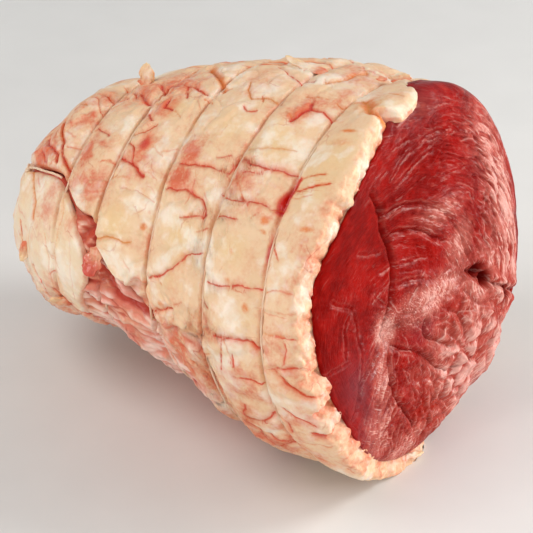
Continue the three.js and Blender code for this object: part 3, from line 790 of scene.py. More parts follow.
def flap_place(flat):
    """Places the flap, which thins towards the edge that is tucked under the last twine."""
    x, y, z = flat.T
    outer = z > 0.5
    nominal = mix(FLAP_ROOT, SHEET_END, y)
    degrees = flap_angle(nominal, x)
    base = skin(nominal, degrees, 0)
    start = along(FLAP_START, degrees) + 0.9 * grain(base, 9, 3, 31)
    share = (nominal - FLAP_ROOT) / (FLAP_STRAIGHT - FLAP_ROOT)
    m = np.where(nominal < FLAP_STRAIGHT, mix(start, FLAP_STRAIGHT, share), nominal)
    step = per_degree(m)
    height, red, amber, lines = surface_marks(m, degrees, FLAP_CREASES + small_flap_creases())
    sunk = groove(m)
    folds = membrane(base * (1.5, 1, 1)) * (1 - ramp(degrees, -30, 4))
    gather = puckers(m, degrees, 77)
    band = BAND_SWELL - 0.4 + 0.8 * grain(base, 17, 2, 32) + 0.25 * grain(base, 5, 2, 33) + height
    out = (mix(band, -0.3, sunk) + twine_puckers(base, np.abs(m - TWINE_AT[-1]), 2.5)
           + 0.08 * grain(base, 2, 2, 34) + 1.1 * folds + gather)
    edge = np.minimum.reduce([(along(FRONT_EDGE, m) - FLAP_GAP - degrees) * step, x * 60,
                              m - start, (SHEET_END - m) * 2.5])
    thick = FLAP_THICKNESS * mix(0.45, 1, ramp(m - start, 0, 12))
    out = mix(-0.5 * thick, np.where(outer, out, -thick), rounding(edge, FLAP_ROUNDING))
    points = skin(m, degrees, out)
    clear_board(points, np.where(outer, 1.2 * sunk, BOARD_GAP))
    blush = strongest(
        0.15 + 0.7 * grain(base, 16, 2, 35), 0.7 * (1 - ramp(m - start, 0, 3)),
        0.7 * (1 - ramp(degrees, -34, -6)))
    butter = np.clip(0.3 + 0.6 * grain(base, 19, 2, 36) + 0.5 * bell((m - 116) / 7), 0, 1)
    butter = butter * ramp(degrees, -40, 0)
    blood = strongest(
        red, 0.35 * (1 - ramp(m - start, 0, 2)), 0.55 * ramp(-folds, 0.1, 0.8),
        0.55 * ramp(-gather, 0.2, 0.9))
    return points, {"tint": np.stack([blush, butter, blood, amber], -1), "crease": lines}


# ---- the meat ----

# seams of the cut face: marks (across, height) in mm from its middle, depth, half width, film
# the film is painted as a sheen and a glint beside the seam; the depth also sets the painted shade
# down it
FACE_SEAMS = [
    ([(28, 48), (23.6, 39.5), (20.5, 27), (20, 17), (22, 10.5), (25, 4), (28, -4), (29.6, -8.6)],
     1.5, 1.1, 0.6),
    ([(31, -9.5), (36.6, -14), (45, -18), (50, -23), (56, -28)], 0.8, 1.5, 0.4),
    ([(23, 37), (13.6, 36), (5, 34), (0.3, 30.7), (-6, 24), (-12.3, 13), (-14.4, 5), (-17, -2.4),
      (-18.6, -7)], 0.9, 1.0, 0.9),
    ([(20, 27), (16, 27.4), (12, 26.7), (7.7, 24.6), (3.2, 21), (-3.3, 15.5)], 1.3, 1.0, 0.8),
    ([(22.6, 9.3), (16, 8), (8, 5.2), (-0.3, 1.7), (-9, -2), (-15.8, -3)], 0.5, 0.9, 0.9),
    ([(-15, -2), (-18.5, -6.5), (-24, -11), (-33, -18), (-44, -25), (-52, -30)], 2.6, 1.1, 0.3),
    ([(9.6, -11), (10.8, -16), (6, -21), (0.6, -25), (-5, -29.5)], 1.2, 1.0, 0.6),
    ([(-2, -11.5), (-8.5, -17), (-10.4, -26.6), (-5, -30)], 1.0, 1.0, 0.4),
    ([(-12, -10), (-16.6, -17), (-23, -18)], 1.0, 1.0, 0.3),
    ([(-23, -18), (-22, -26), (-15, -33)], 1.0, 0.9, 0.4),
    ([(14.5, -22), (6, -31), (-2.4, -39), (-10, -40.6), (-15, -40), (-24, -36)], 1.3, 1.1, 0.5),
    ([(29, -28), (24.4, -39.6), (16, -54.5)], 1.4, 1.1, 0.5),
    ([(26, -14), (14.5, -22)], 1.4, 1.2, 0.8),
    ([(28, -9), (29, -28)], 1.0, 1.1, 0.9),
    ([(26, -4), (16, -5), (6, -5)], 0.7, 1.0, 0.9),
    ([(54, 17), (44.6, 11), (50.5, 5), (52, -5)], 0.5, 0.8, 0.6),
    ([(44.6, 11), (43, -6), (45, -18)], 0.4, 0.8, 0.6),
    ([(38, 29), (31, 26), (25, 24)], 0.3, 0.7, 0.5),
    ([(2, -42), (4, -52), (0, -62)], 0.9, 1.0, 0.4),
    ([(-14, -44), (-12, -54)], 0.9, 1.0, 0.3),
    ([(-29, 2), (-30, 16), (-33, 32), (-31, 46)], 0.8, 0.9, 0.6),
    ([(-24, 4), (-25, 14), (-28, 26)], 0.7, 0.9, 0.6),
]

# deep pits of the cut face: across, height, depth, half width
FACE_PITS = [
    (-20, -4.6, 7.0, 2.6), (-22.5, -8.5, 6.5, 2.6), (-31.5, -17.5, 4.5, 2.4),
    (23.6, 39.3, 2.6, 2.0), (27, -9.5, 2.4, 6.0), (38.5, -32.6, 1.6, 2.2), (45, 11, 0.8, 1.2),
    (35, -1.6, 0.8, 1.5), (-51, -29.5, 6.5, 4.0),
]
# where the cut is lobed, crumbly, striped along its outline, wrinkled towards the knot, filmed
# over, partly a painted sheen, and bruised: across, height, half width, half height, strength
LOBED_ZONES = [
    (-14, -40, 24, 22, 1.0), (-2, -52, 18, 14, 1.0), (-28, -20, 14, 16, 1.0),
    (-6, -20, 14, 12, 0.8),
]
GRAINY_ZONES = [
    (13, -38, 12, 17, 1.0), (30, -48, 16, 12, 0.8), (0, -18, 14, 12, 0.6), (-14, -40, 24, 22, 0.4),
]
STRIPED_ZONES = [
    (-38, 22, 20, 40, 1.0), (-22, 46, 26, 20, 0.9), (-40, -2, 14, 16, 0.9), (8, 62, 26, 8, 0.6),
    (-8, 24, 12, 9, 0.5), (8, 20, 18, 12, 0.15), (4, 44, 26, 14, 0.12),
]
RADIAL_ZONES = [
    (30, -34, 14, 26, 1.0), (16, -52, 18, 14, 0.7), (48, -8, 12, 26, 0.5), (8, -4, 22, 7, 0.8),
    (36, -6, 10, 12, 0.6), (4, 12, 12, 8, 0.4), (-10, 8, 10, 10, 0.4),
]
FILM_AND_SHEEN_ZONES = [
    (28, -7, 7, 10, 1.05), (33, -27, 8, 17, 0.9), (35, -43, 16, 17, 0.85), (18, -59, 26, 11, 0.8),
    (-16, -42, 28, 28, 1.35), (-42, 18, 17, 40, 1.15), (-28, -14, 22, 20, 1.25),
    (4, -4, 22, 9, 1.05), (-3, 27, 14, 8, 0.7), (-12, 10, 9, 14, 0.8), (-32, 42, 14, 18, 0.55),
    (2, 66, 32, 6, 0.4), (-4, -22, 14, 12, 0.9), (14, -37, 12, 16, 0.55),
]
PURPLE_ZONES = [
    (49, -18, 9, 11, 0.9), (0, 70, 15, 7, 1.0), (9, -14, 8, 6, 0.7), (45, -34, 9, 12, 0.6),
]
# the knot of muscle that the lower wrinkles run to: across, height
KNOT = (22.0, -6.0)
# half width and half height of the cut
FACE_WIDE, FACE_TALL = 68, 71


def fine_seams():
    """Fine wrinkles: along the outline of the cut above and behind, towards the knot below."""
    pick = random.Random(53)
    rows = []
    for _ in range(FINE_SEAMS):
        reach, turn = math.sqrt(pick.random()) * 0.96, pick.uniform(-math.pi, math.pi)
        x, y = FACE_WIDE * reach * math.cos(turn), FACE_TALL * reach * math.sin(turn)
        here = np.array([x]), np.array([y])
        amount = float(spots(*here, FILM_AND_SHEEN_ZONES)[0] + 0.6 * spots(*here, STRIPED_ZONES)[0])
        bend, length = pick.gauss(0, 0.1), pick.uniform(7, 22)
        depth, half, film_and_sheen = pick.uniform(0.1, 0.42), pick.uniform(0.5, 0.8), pick.uniform(0.1, 0.8)
        if pick.random() > 0.03 + 0.9 * amount:
            continue
        from_knot = math.atan2(y - KNOT[1], x - KNOT[0])
        if reach > 0.5 and (x < -10 or y > 20):
            heading = math.atan2(x, -y) + bend
        elif y > 4:
            heading = from_knot + math.pi / 2 + 2 * bend
        else:
            heading = from_knot + 1.5 * bend
        marks = []
        for share in (-0.5, -0.25, 0, 0.25, 0.5):
            turned = heading + 0.012 * share * length
            marks.append((x + share * length * math.cos(turned) + pick.gauss(0, 0.25),
                          y + share * length * math.sin(turned) + pick.gauss(0, 0.25)))
        rows.append((marks, depth, half, film_and_sheen))
    return rows


def face_marks(across, height, share):
    """Relief of the cut face, its tints (film and painted sheen, painted shade, purple, lobed) and
    its fine lines.
    """
    flat = np.stack([across, height, 0 * across], -1)
    x = across + 1.1 * grain(flat, 9, 2, 41) + 0.3 * grain(flat, 2.2, 2, 48)
    y = height + 1.1 * grain(flat, 9, 2, 42) + 0.3 * grain(flat, 2.2, 2, 49)
    deep, film_and_sheen, painted_shade, puff, pit = (np.zeros(x.shape) for _ in range(5))
    lines = blank_lines(x)
    for marks, depth, half, veil in FACE_SEAMS + fine_seams():
        near, away, side, past = line_field(x, y, marks, 6 * half)
        ratio = away / half
        fade = 1 - ramp(past, 0, 2)
        deep[near] = np.maximum(deep[near], depth * np.exp(-ratio ** 1.4))
        puff[near] = puff[near] + 0.22 * depth * bell((ratio - 2.4) / 1.3) * fade
        # pale film on the seam's shoulders: a painted sheen
        film_and_sheen[near] = np.maximum(film_and_sheen[near], 0.5 * veil * bell((ratio - 1.6) / 0.8) * fade)
        # painted shade down the seam, darker where it is deeper
        painted_shade[near] = np.maximum(painted_shade[near], 0.7 * min(1, depth / 2) * bell(ratio / 0.8))
        # fine line of the seam: painted shade by its depth, painted glint by its film
        draw_line(lines, near, side, past, (min(1, depth / 1.7) ** 1.3, veil))
    for cx, cy, depth, half in FACE_PITS:
        away = np.hypot(x - cx, y - cy) / half
        deep = np.maximum(deep, depth * bell(away))
        # painted shade in the deeper pits
        painted_shade = np.maximum(painted_shade, min(1.3, max(depth - 1.8, 0) / 2.2) * bell(away / 1.15))
        pit = np.maximum(pit, min(1, max(depth - 2.6, 0) / 2) * bell(away / 1.4))
    lobed = spots(across, height, LOBED_ZONES)
    slanting = np.stack([x * 0.95 + 0.4 * y, y * 0.8 - 0.3 * x, 0 * x], -1)
    rounded = ramp(cells(slanting, 7.2, 1), 0, 0.45)
    lobes = 2.1 * (rounded - 0.8) + 0.6 * grain(flat, 7, 1, 56)
    grainy = spots(across, height, GRAINY_ZONES)
    crumbs = flat * (1, 0.7, 1) + 0.8 * grain(flat, 3, 2, 50)[:, None]
    crumb = ramp(cells(crumbs, 2.1, 4), 0, 0.6)

    # wrinkles: folds along the outline of the cut, and others running down to the knot
    striped, radial = spots(across, height, STRIPED_ZONES), spots(across, height, RADIAL_ZONES)
    far = np.hypot(across, height) + 1e-3
    ring = share * 70 / 3.0 + 0.7 * grain(flat, 13, 2, 55)
    rings = np.stack([across / far * 1.7, height / far * 1.7, ring], -1)
    arc = np.minimum(3.0 * np.abs(grain(rings, 1, 3, 44)), 1)
    knot_x, knot_y = across - KNOT[0], height - KNOT[1]
    knot_far = np.hypot(knot_x, knot_y) + 2
    turn = np.arctan2(knot_y, knot_x) * knot_far ** 0.5 * 2.6
    spokes = np.stack([turn + 0.8 * grain(flat, 9, 2, 57), knot_far / 15, 0 * turn], -1)
    ray = np.minimum(2.6 * np.abs(grain(spokes, 1, 2, 58)), 1)
    rough = 0.5 * grain(flat, 13, 2, 46) + 0.12 * grain(flat, 3.2, 2, 47)
    relief = (puff - deep + lobed * lobes + 0.5 * grainy * (crumb - 0.7)
              + 1.5 * striped * (arc - 0.6) + 0.8 * radial * (ray - 0.6) + rough)
    # the film is painted strongest on the tops of lobes, crumbs and wrinkles, as a painted sheen
    tops = (1.2 - 0.7 * lobed * (1 - rounded) - 0.4 * grainy * (1 - crumb)
            - 0.9 * striped * (1 - arc) - 0.7 * radial * (1 - ray))
    zone_film_and_sheen = spots(across, height, FILM_AND_SHEEN_ZONES) * np.clip(tops, 0.15, 1)
    film_and_sheen = np.maximum(film_and_sheen, zone_film_and_sheen) * (1 - pit)
    return relief, np.stack([film_and_sheen, painted_shade, spots(across, height, PURPLE_ZONES), lobed], -1), lines


def face_points(share, degrees, tuck):
    """Cut face: share 0 in its middle, 1 at its edge; tuck 1 is folded in under the fat."""
    centre, (front, back, up, down, _), (axis, side, rise) = station(np.zeros(share.shape))
    c, s = np.cos(np.radians(degrees)), np.sin(np.radians(degrees))
    rolled = ramp(degrees, 92, 103) * (1 - ramp(degrees, 206, 222))
    under = (1 - ramp(degrees, -122, -114)) + ramp(degrees, 222, 226)
    inside = wrap_depth(np.zeros(share.shape), degrees) - 0.6
    lip = mix(mix(inside, -0.8, rolled), 0.8, np.clip(under, 0, 1))
    depth = mix(lip, inside + 1.5, tuck ** mix(1, 3, rolled))
    across = (np.where(c > 0, front, back) - depth) * c * share
    height = (np.where(s > 0, up, down) - depth) * s * share
    swell = mix(FACE_SWELL[:, 1].mean(), around(FACE_SWELL, degrees), ramp(share, 0, 0.6))
    shoulder = np.maximum(1 - share ** 3, 0) ** 0.6
    relief, tint, lines = face_marks(across, height, share)
    relief = relief * mix(0.25, 1, ramp(1 - share, 0, 0.05))
    lip_roll = 4.5 * rolled * (1 - tuck) * ramp(share, 0.8, 1)
    edge = around(MEAT_REACH, degrees) * share ** 5 + lip_roll
    forward = swell * shoulder + relief + edge - (2.5 + 6 * rolled) * tuck
    points = centre + side * across[:, None] + rise * height[:, None] + axis * forward[:, None]
    # painted shade where the face is tucked in under the fat
    tint[:, 1] = np.maximum(tint[:, 1], 0.75 * tuck)
    return points, tint, lines, axis


# share of the disc's radius that shows, inside the part that is tucked in
FACE_EDGE = 0.965
FACE_THICKNESS = 7.0


def face_place(flat):
    """Places the cut face: a domed disc with a plain back sunk in the meat."""
    u, v = 2 * flat[:, 0] - 1, 2 * flat[:, 1] - 1
    x, y = u * np.sqrt(1 - v * v / 2), v * np.sqrt(1 - u * u / 2)
    reach = np.hypot(x, y)
    degrees = front_angle(np.degrees(np.arctan2(y, x)))
    points, tint, lines, axis = face_points(
        np.clip(reach / FACE_EDGE, 0, 1), degrees, ramp(reach, FACE_EDGE, 1))
    behind = flat[:, 2] < 0.5
    points = points - axis * (FACE_THICKNESS * behind * (1 - 0.6 * reach ** 4))[:, None]
    return points, {"flesh": tint, "seam": lines}


# folds of the bare meat low in front: marks (along, angle), depth (negative stands up), half
# width, red, film (pale film, partly a painted sheen along ridges that stand up)
MEAT_FOLDS = [
    ([(104, 17), (100, 19), (98, 15)], 3.2, 2.2, 1.0, 0.0),
    ([(96, 3), (92, -2), (87, -6), (82, -6), (75, -5), (66, -4)], 2.2, 2.4, 1.0, 0.0),
    ([(97, 8), (90, 3), (82, -1), (72, 0)], -1.6, 2.0, 0.1, 1.0),
    ([(112, -2), (106, -10), (102, -17)], 1.6, 1.2, 0.9, 0.0),
    ([(108, 2), (104, -4), (98, -5), (92, 1)], 1.5, 1.2, 0.9, 0.0),
    ([(104, -8), (97, -12), (88, -14)], -1.4, 2.2, 0.1, 0.9),
    ([(98, -17), (88, -19), (78, -18)], 1.6, 1.5, 0.6, 0.1),
    ([(90, -24), (80, -26), (68, -24)], -1.4, 2.4, 0.1, 0.8),
    ([(104, -30), (92, -34), (80, -36), (66, -34)], 1.8, 1.7, 0.6, 0.1),
    ([(96, -46), (84, -50), (70, -50), (58, -44)], 1.6, 1.6, 0.5, 0.1),
    ([(100, -60), (86, -66), (70, -64), (54, -60)], -1.2, 2.4, 0.1, 0.7),
    ([(108, -84), (90, -80), (64, -86), (44, -92)], 1.2, 1.8, 0.5, 0.1),
    ([(102, -112), (80, -118), (50, -116), (34, -112)], 1.4, 1.8, 0.5, 0.1),
    ([(100, -136), (78, -128), (50, -124)], 1.4, 1.8, 0.5, 0.2),
]


def small_folds():
    """Many short folds beside the large ones."""
    pick = random.Random(61)
    rows = []
    for _ in range(SMALL_FOLDS):
        start, level = pick.uniform(34, 112), pick.uniform(-132, 16)
        slant, length = 0.35 + pick.gauss(0, 0.35), pick.uniform(4, 14)
        rows.append((crack(pick, start, level, slant, length, 1.1, 0.6), pick.uniform(0.2, 0.8),
                     pick.uniform(0.6, 1.0), pick.uniform(0.2, 0.8), pick.uniform(0, 0.6)))
    return rows


def bare_meat(m, degrees):
    """How deep under the skin the meat lies where no fat covers it, its tints and fine lines."""
    turned = front_angle(degrees)
    step = per_degree(m)
    base = skin(m, degrees, 0)
    shift_m, shift_y = wobble(base, 8, 1.2, 51)
    x, y = m + shift_m, turned * step + shift_y
    deep, red, film_and_sheen = np.zeros(m.shape), np.zeros(m.shape), np.zeros(m.shape)
    lines = blank_lines(m)
    for marks, depth, half, blood, veil in MEAT_FOLDS + small_folds():
        near, away, side, past = line_field(x, y, in_place(marks), 6 * half)
        ratio = away / half
        deep[near] = deep[near] + depth * bell(ratio)
        red[near] = np.maximum(red[near], blood * bell(ratio / 0.9))
        film_and_sheen[near] = np.maximum(film_and_sheen[near], veil * bell(ratio / 1.2))
        # fine line of the fold: painted shade by its red, painted glint by its film
        draw_line(lines, near, side, past, (0.6 * blood, veil))
    strip = ramp(turned, -12, 0) * ramp(m, 90, 97)
    folds = membrane(base) * (1 - 0.85 * strip)
    underneath = ramp(np.abs((degrees % 360) - 270), 20, 42)
    lumpy = 1.0 * grain(base * (0.6, 1, 1), 9, 2, 52) + 1.5 * folds + 0.35 * grain(base, 2.6, 3, 53)
    hollow = 4.5 * bell((m - 70) / 8) * bell((turned + 42) / 20)
    level = mix(0.2, 2.5 + hollow + 0.8 * deep - lumpy, underneath)
    level = mix(level, np.maximum(4.2, level), groove(m))
    start = along(FLAP_START, turned)
    level = level - 1.0 * bell((m - start) / 2.5) * underneath
    level = mix(level, FLAP_THICKNESS + 1.2, ramp(m - start, 1.2, 4.0))
    streaks = ramp(grain(base * (0.35, 1, 1), 2.6, 2, 78), -0.1, 0.5) * strip
    red = strongest(red, 0.8 * ramp(-folds, 0.15, 0.75), strip * (0.8 - 0.6 * streaks))
    # pale film on the strip's streaks, and on the ridges of the folds as a painted sheen
    film_and_sheen = strongest(0.7 * film_and_sheen, 0.15 + 0.7 * ramp(folds, -0.2, 0.7), 0.8 * streaks)
    return level, red, film_and_sheen * (1 - 0.7 * red), lines


# share of the body's height that makes the plain cap behind the cut face
BODY_CAP = 0.08


def body_place(flat):
    """Places the rest of the meat: a plain front hidden by the face, then back to the end."""
    v = np.arccos(np.clip(flat[:, 2], -1, 1)) / np.pi
    turn = np.degrees(np.arctan2(flat[:, 1], flat[:, 0])) / 360 + 0.5
    turned = np.interp(turn, [0, 0.03, 0.66, 1],
                       [FIRST_ANGLE, FIRST_ANGLE + 10, 26, FIRST_ANGLE + 360])
    m = np.interp(v, [0, BODY_CAP, 0.2, 0.8, 1], [0, 0, 30, 120, JOINT_LENGTH])
    front, back = along(FRONT_EDGE, m), along(BACK_EDGE, m)
    step = per_degree(m)
    in_front, behind = turned < front, turned > back
    past_front = np.where(behind, front + 360 - turned, front - turned) * step
    past_back = np.where(in_front, turned + 360 - back, turned - back) * step
    outside = np.where(in_front | behind, np.minimum(past_front, past_back), 0)
    level, red, film_and_sheen, lines = bare_meat(m, turned)
    covered = wrap_depth(m, turned) + MEAT_GAP + ramp(m, 121, 137)
    by_flap = ramp(m, 98, 106)
    open_meat = mix(ramp(outside, 0.8, 4.2), ramp(outside, 0.0, 1.0), by_flap)
    gap = flap_gap(m) * step
    slot = by_flap * in_front * (turned > -90) * (1 - ramp(outside, gap + 0.8, gap + 2.2))
    level = mix(level, mix(2.8, 1.4, ramp(m, 118, 130)), slot)
    red = np.maximum(red, 0.7 * slot)
    depth = mix(np.maximum(covered, (FLAP_THICKNESS + 1) * ramp(m, 100, 105)), level, open_meat)
    first = m < 0.01
    body = skin(m, turned, -depth - 0.8 * first, cut_shift(m, turned, MEAT_REACH) - 1.5 * first)
    clear_board(body, 1.2 * groove(m) * open_meat)
    centre, _, (axis, _, _) = station(np.zeros(1))
    middle = (centre - axis * 6)[0]
    cap = middle + (body - middle) * np.clip(v / BODY_CAP, 0, 1)[:, None]
    body = np.where((v < BODY_CAP)[:, None], cap, body)
    film_and_sheen = film_and_sheen * mix(0.6, 1, ramp(grain(body, 14, 2, 54), -0.35, 0.35))
    plain = np.zeros(m.shape)
    lines[:, 1:] *= open_meat[:, None]
    # painted shade where fat covers the meat and along its red folds
    painted_shade = 0.25 * red + 0.8 * (1 - open_meat)
    return body, {"flesh": np.stack([film_and_sheen, painted_shade, plain, plain + 1], -1),
                  "veil": np.stack([open_meat, red, plain], -1), "seam": lines}


def ball(columns, rows):
    """A unit ball, for a piece to be placed from."""
    bm = bmesh.new()
    bmesh.ops.create_uvsphere(bm, u_segments=columns, v_segments=rows, radius=1)
    return bm


# ---- twine ----

STRANDS = 3
TWIST = 3.6
LOOP_POINTS = 640
TAIL_POINTS = 60
KNOT_POINTS = 70
KNOT_TURN = 5 * np.pi
KNOT_RADIUS = 1.3


def twine_point(at, degrees):
    """Middle of the twine at an angle: sunk in its groove, and clear of the board."""
    turned = front_angle(degrees)
    m = np.full(np.shape(degrees), float(at))
    front, back = along(FRONT_EDGE, m), along(BACK_EDGE, m)
    on_meat = (turned < front - 1) | (turned > back + 1)
    depth = np.where(on_meat & (at < FLAP_ROOT), TWINE_IN_MEAT, GROOVE_DEPTH)
    turn = np.radians(degrees)
    sunk = 0.45 * np.sin(turn * 9 + at) * np.sin(turn * 4 + 2 * at) - 0.25
    if at == TWINE_AT[0]:
        sunk = sunk - 1.6 * bell((turned - 50) / 6)
    if at == TWINE_AT[3]:
        sunk = sunk - 3.5 * ramp(turned, -18, -12) * (1 - ramp(turned, 16, 20))
    middle = skin(m, degrees, 0.2 + sunk - depth)
    middle[:, 2] = np.maximum(middle[:, 2], TWINE_RADIUS + 0.3)
    return middle


def twine_piece(name, centres, closed, weld, material):
    """A tube of three twisted strands through the centres, welded along its seam."""
    count = len(centres)
    rings = count if closed else count - 1
    bm = bmesh.new()
    bmesh.ops.create_grid(bm, x_segments=rings, y_segments=12, size=0.5)

    def place(flat):
        i = np.rint((flat[:, 0] + 0.5) * rings).astype(int)
        ahead = centres[(i + 1) % count] if closed else centres[np.minimum(i + 1, count - 1)]
        behind = centres[(i - 1) % count] if closed else centres[np.maximum(i - 1, 0)]
        middle = centres[i % count]
        forward = ahead - behind
        forward /= np.linalg.norm(forward, axis=1)[:, None]
        level = np.cross(forward, (1.0, 0.0, 0.0) if closed else (0.0, 0.0, 1.0))
        level /= np.linalg.norm(level, axis=1)[:, None]
        up = np.cross(level, forward)
        steps = np.linalg.norm(np.roll(centres, -1, 0) - centres, axis=1)
        travelled = np.concatenate([[0], np.cumsum(steps)])[i]
        length = travelled.max()
        turns = round(length / TWIST) if closed else length / TWIST
        twist = travelled / length * turns * 2 * np.pi
        turn = (flat[:, 1] + 0.5) * 2 * np.pi
        ridge = np.abs(np.sin(0.5 * STRANDS * turn + 0.5 * twist))
        radius = TWINE_RADIUS * (0.74 + 0.3 * ridge)
        if not closed:
            radius = radius * np.where((i == 0) | (i == count - 1), 0.02, 1)
        points = (middle + level * (radius * np.cos(turn))[:, None]
                  + up * (radius * np.sin(turn))[:, None])
        return points, {"lay": np.stack([ridge, ridge, ridge], -1)}

    string = finish_piece(bm, name, place, material)
    welded = bmesh.new()
    welded.from_mesh(string.data)
    bmesh.ops.remove_doubles(welded, verts=welded.verts[:], dist=weld)
    welded.to_mesh(string.data)
    welded.free()
    return string


# ---- small torn tags of fat ----

# along, angle, length, width, thickness, heading (0 straight back, 90 up and over), rise, flare
TAGS = {
    "tag_upright": (114, 91, 10.5, 8.0, 2.2, 90, 84, 0.0),
    "lip_top": (37, 98, 20, 6.0, 1.8, 4, 6, -0.3),
    "lip_rear": (17, 104, 11, 9.0, 1.6, 30, 9, 0.1),
    "lip_rim": (6, 104, 9, 8.0, 1.6, 60, 9, 0.0),
    "tag_rim": (1.5, -76, 13, 5.5, 3.2, -112, -8, 0.1),
    "tag_flap": (143, -1, 9.0, 4.2, 2.4, -84, 14, 0.0),
    "tag_bloody": (95.5, 12.5, 13, 7.5, 1.8, -74, 3, 0.1),
    "tag_low": (119, -25, 9, 6.0, 2.2, 30, 24, 0.0),
}


def tag_piece(name, row, material):
    """A thin torn petal of fat, rooted in the surface and lifting towards its tip."""
    distance, angle, length, width, thickness, heading, rise, flare = row
    m, deg = np.array([float(distance)]), np.array([float(angle)])
    foot = skin(m, deg, 0.9)[0]
    out = skin(m, deg, 1.9)[0] - foot
    foot[2] = max(foot[2], 3.5)
    back = -station(m)[2][0][0]
    over = np.cross(back, out)
    turn, lift = math.radians(heading), math.radians(rise)
    head = math.cos(turn) * back + math.sin(turn) * over
    wide = math.cos(turn) * over - math.sin(turn) * back
    ahead = math.cos(lift) * head + math.sin(lift) * out
    thin = math.cos(lift) * out - math.sin(lift) * head

    def place(flat):
        x, y, z = flat.T
        level = flat * (1, 1, 0) + len(name)
        ragged = 1 + 0.45 * grain(level, 0.45, 3, 7) + flare * x
        if rise > 60:
            ragged = ragged * (0.95 - 0.45 * x)
        stretch = 1 + 0.12 * grain(flat * (0, 1, 0) + len(name), 0.4, 2, 8)
        along_it = (x * stretch + 0.8) * length / 2
        curl = 0.35 * np.maximum(x, 0) ** 2 * length * (0.25 if rise < 40 else 0.1)
        lifted = z * thickness / 2 * (1 - 0.35 * x) + curl + 0.6 * grain(level, 0.5, 3, 6)
        points = (foot + ahead * along_it[:, None] + wide * (y * width / 2 * ragged)[:, None]
                  + thin * lifted[:, None])
        tip = np.clip(x * 0.5 + 0.5, 0, 1)
        edge = ramp(np.hypot(x, y), 0.75, 1.0)
        wet = 0.4 + 0.8 * tip if name == "tag_bloody" else 0.6 * bell((x + 0.7) / 0.35)
        amber = 0.45 * edge * bell((x - 0.1) / 0.6)
        return points, {"tint": np.stack([0.7 - 0.7 * tip, 0.8 * tip, wet, amber], -1),
                        "crease": blank_lines(x)}

    return finish_piece(ball(36, 24), name, place, material)


# ---- finishes ----

def paint(code):
    """A linear colour from a six-figure one."""
    values = [int(code[i:i + 2], 16) / 255 for i in (0, 2, 4)]
    linear = [v / 12.92 if v <= 0.04045 else ((v + 0.055) / 1.055) ** 2.4 for v in values]
    return (*linear, 1.0)


IVORY_FAT = paint("edc8a0")
PINK_FAT = paint("da6e4a")
IVORY_FLAP = paint("f0d6b4")
PINK_FLAP = paint("e2977a")
BUTTER_FAT = paint("eac58e")
CREAM_FAT = paint("faebd8")
VEIN_RED = paint("c4503a")
AMBER_STAIN = paint("e07628")
THIN_BLOOD = paint("e26c3e")
FRESH_BLOOD = paint("cc1604")
AMBER_CREASE = paint("da8630")
RED_CREASE = paint("d6380e")
DEEP_LEAN = paint("740503")
BRIGHT_LEAN = paint("980d07")
LOBE_RED = paint("b02c18")
FIBRE_RED = paint("b8241a")
BRUISE = paint("7a3c42")
# pale film, partly real and partly a painted sheen
FILM_AND_SHEEN_PINK = paint("c86a5a")
# painted sheen streaks over the film
PAINTED_SHEEN_PINK = paint("e8b0a2")
# painted glint lines
PAINTED_GLINT_PINK = paint("f0c2b4")
# painted shade of the seams, pits and meat under the fat
SHADE_RED = paint("520404")
SEAM_GLINT = paint("efc0b2")
# painted shade down the seams
SEAM_SHADE_RED = paint("640a08")
MEMBRANE_PINK = paint("e6846c")
# pale membrane, partly a painted sheen on its ridges
PALE_MEMBRANE_AND_SHEEN = paint("fcd8c6")
MEMBRANE_AMBER = paint("e6b184")
STREAK_RED = paint("b3281a")
# painted shade between the twine's strands
TWINE_SHADE = paint("dab390")
TWINE_PALE = paint("f2d8bc")
TWINE_STAIN = paint("d2946e")
BOARD_GREY = paint("dddbd7")
BOARD_PALE = paint("e4e2de")


class Signal:
    """A shader socket that can be reckoned with: an expression on it adds its Math nodes."""

    def __init__(self, finish, socket):
        self.finish = finish
        self.socket = socket

    def __add__(self, other):
        return self.finish.maths("ADD", self, other)

    def __radd__(self, other):
        return self.finish.maths("ADD", other, self)

    def __sub__(self, other):
        return self.finish.maths("SUBTRACT", self, other)

    def __rsub__(self, other):
        return self.finish.maths("SUBTRACT", other, self)

    def __mul__(self, other):
        return self.finish.maths("MULTIPLY", self, other)

    def __rmul__(self, other):
        return self.finish.maths("MULTIPLY", other, self)

    def between(self, low, high):
        """0 where it is low or less, 1 where it is high or more, smooth between."""
        return self.finish.node("MapRange", {"interpolation_type": "SMOOTHSTEP"},
                                {"Value": self, "From Min": low, "From Max": high})


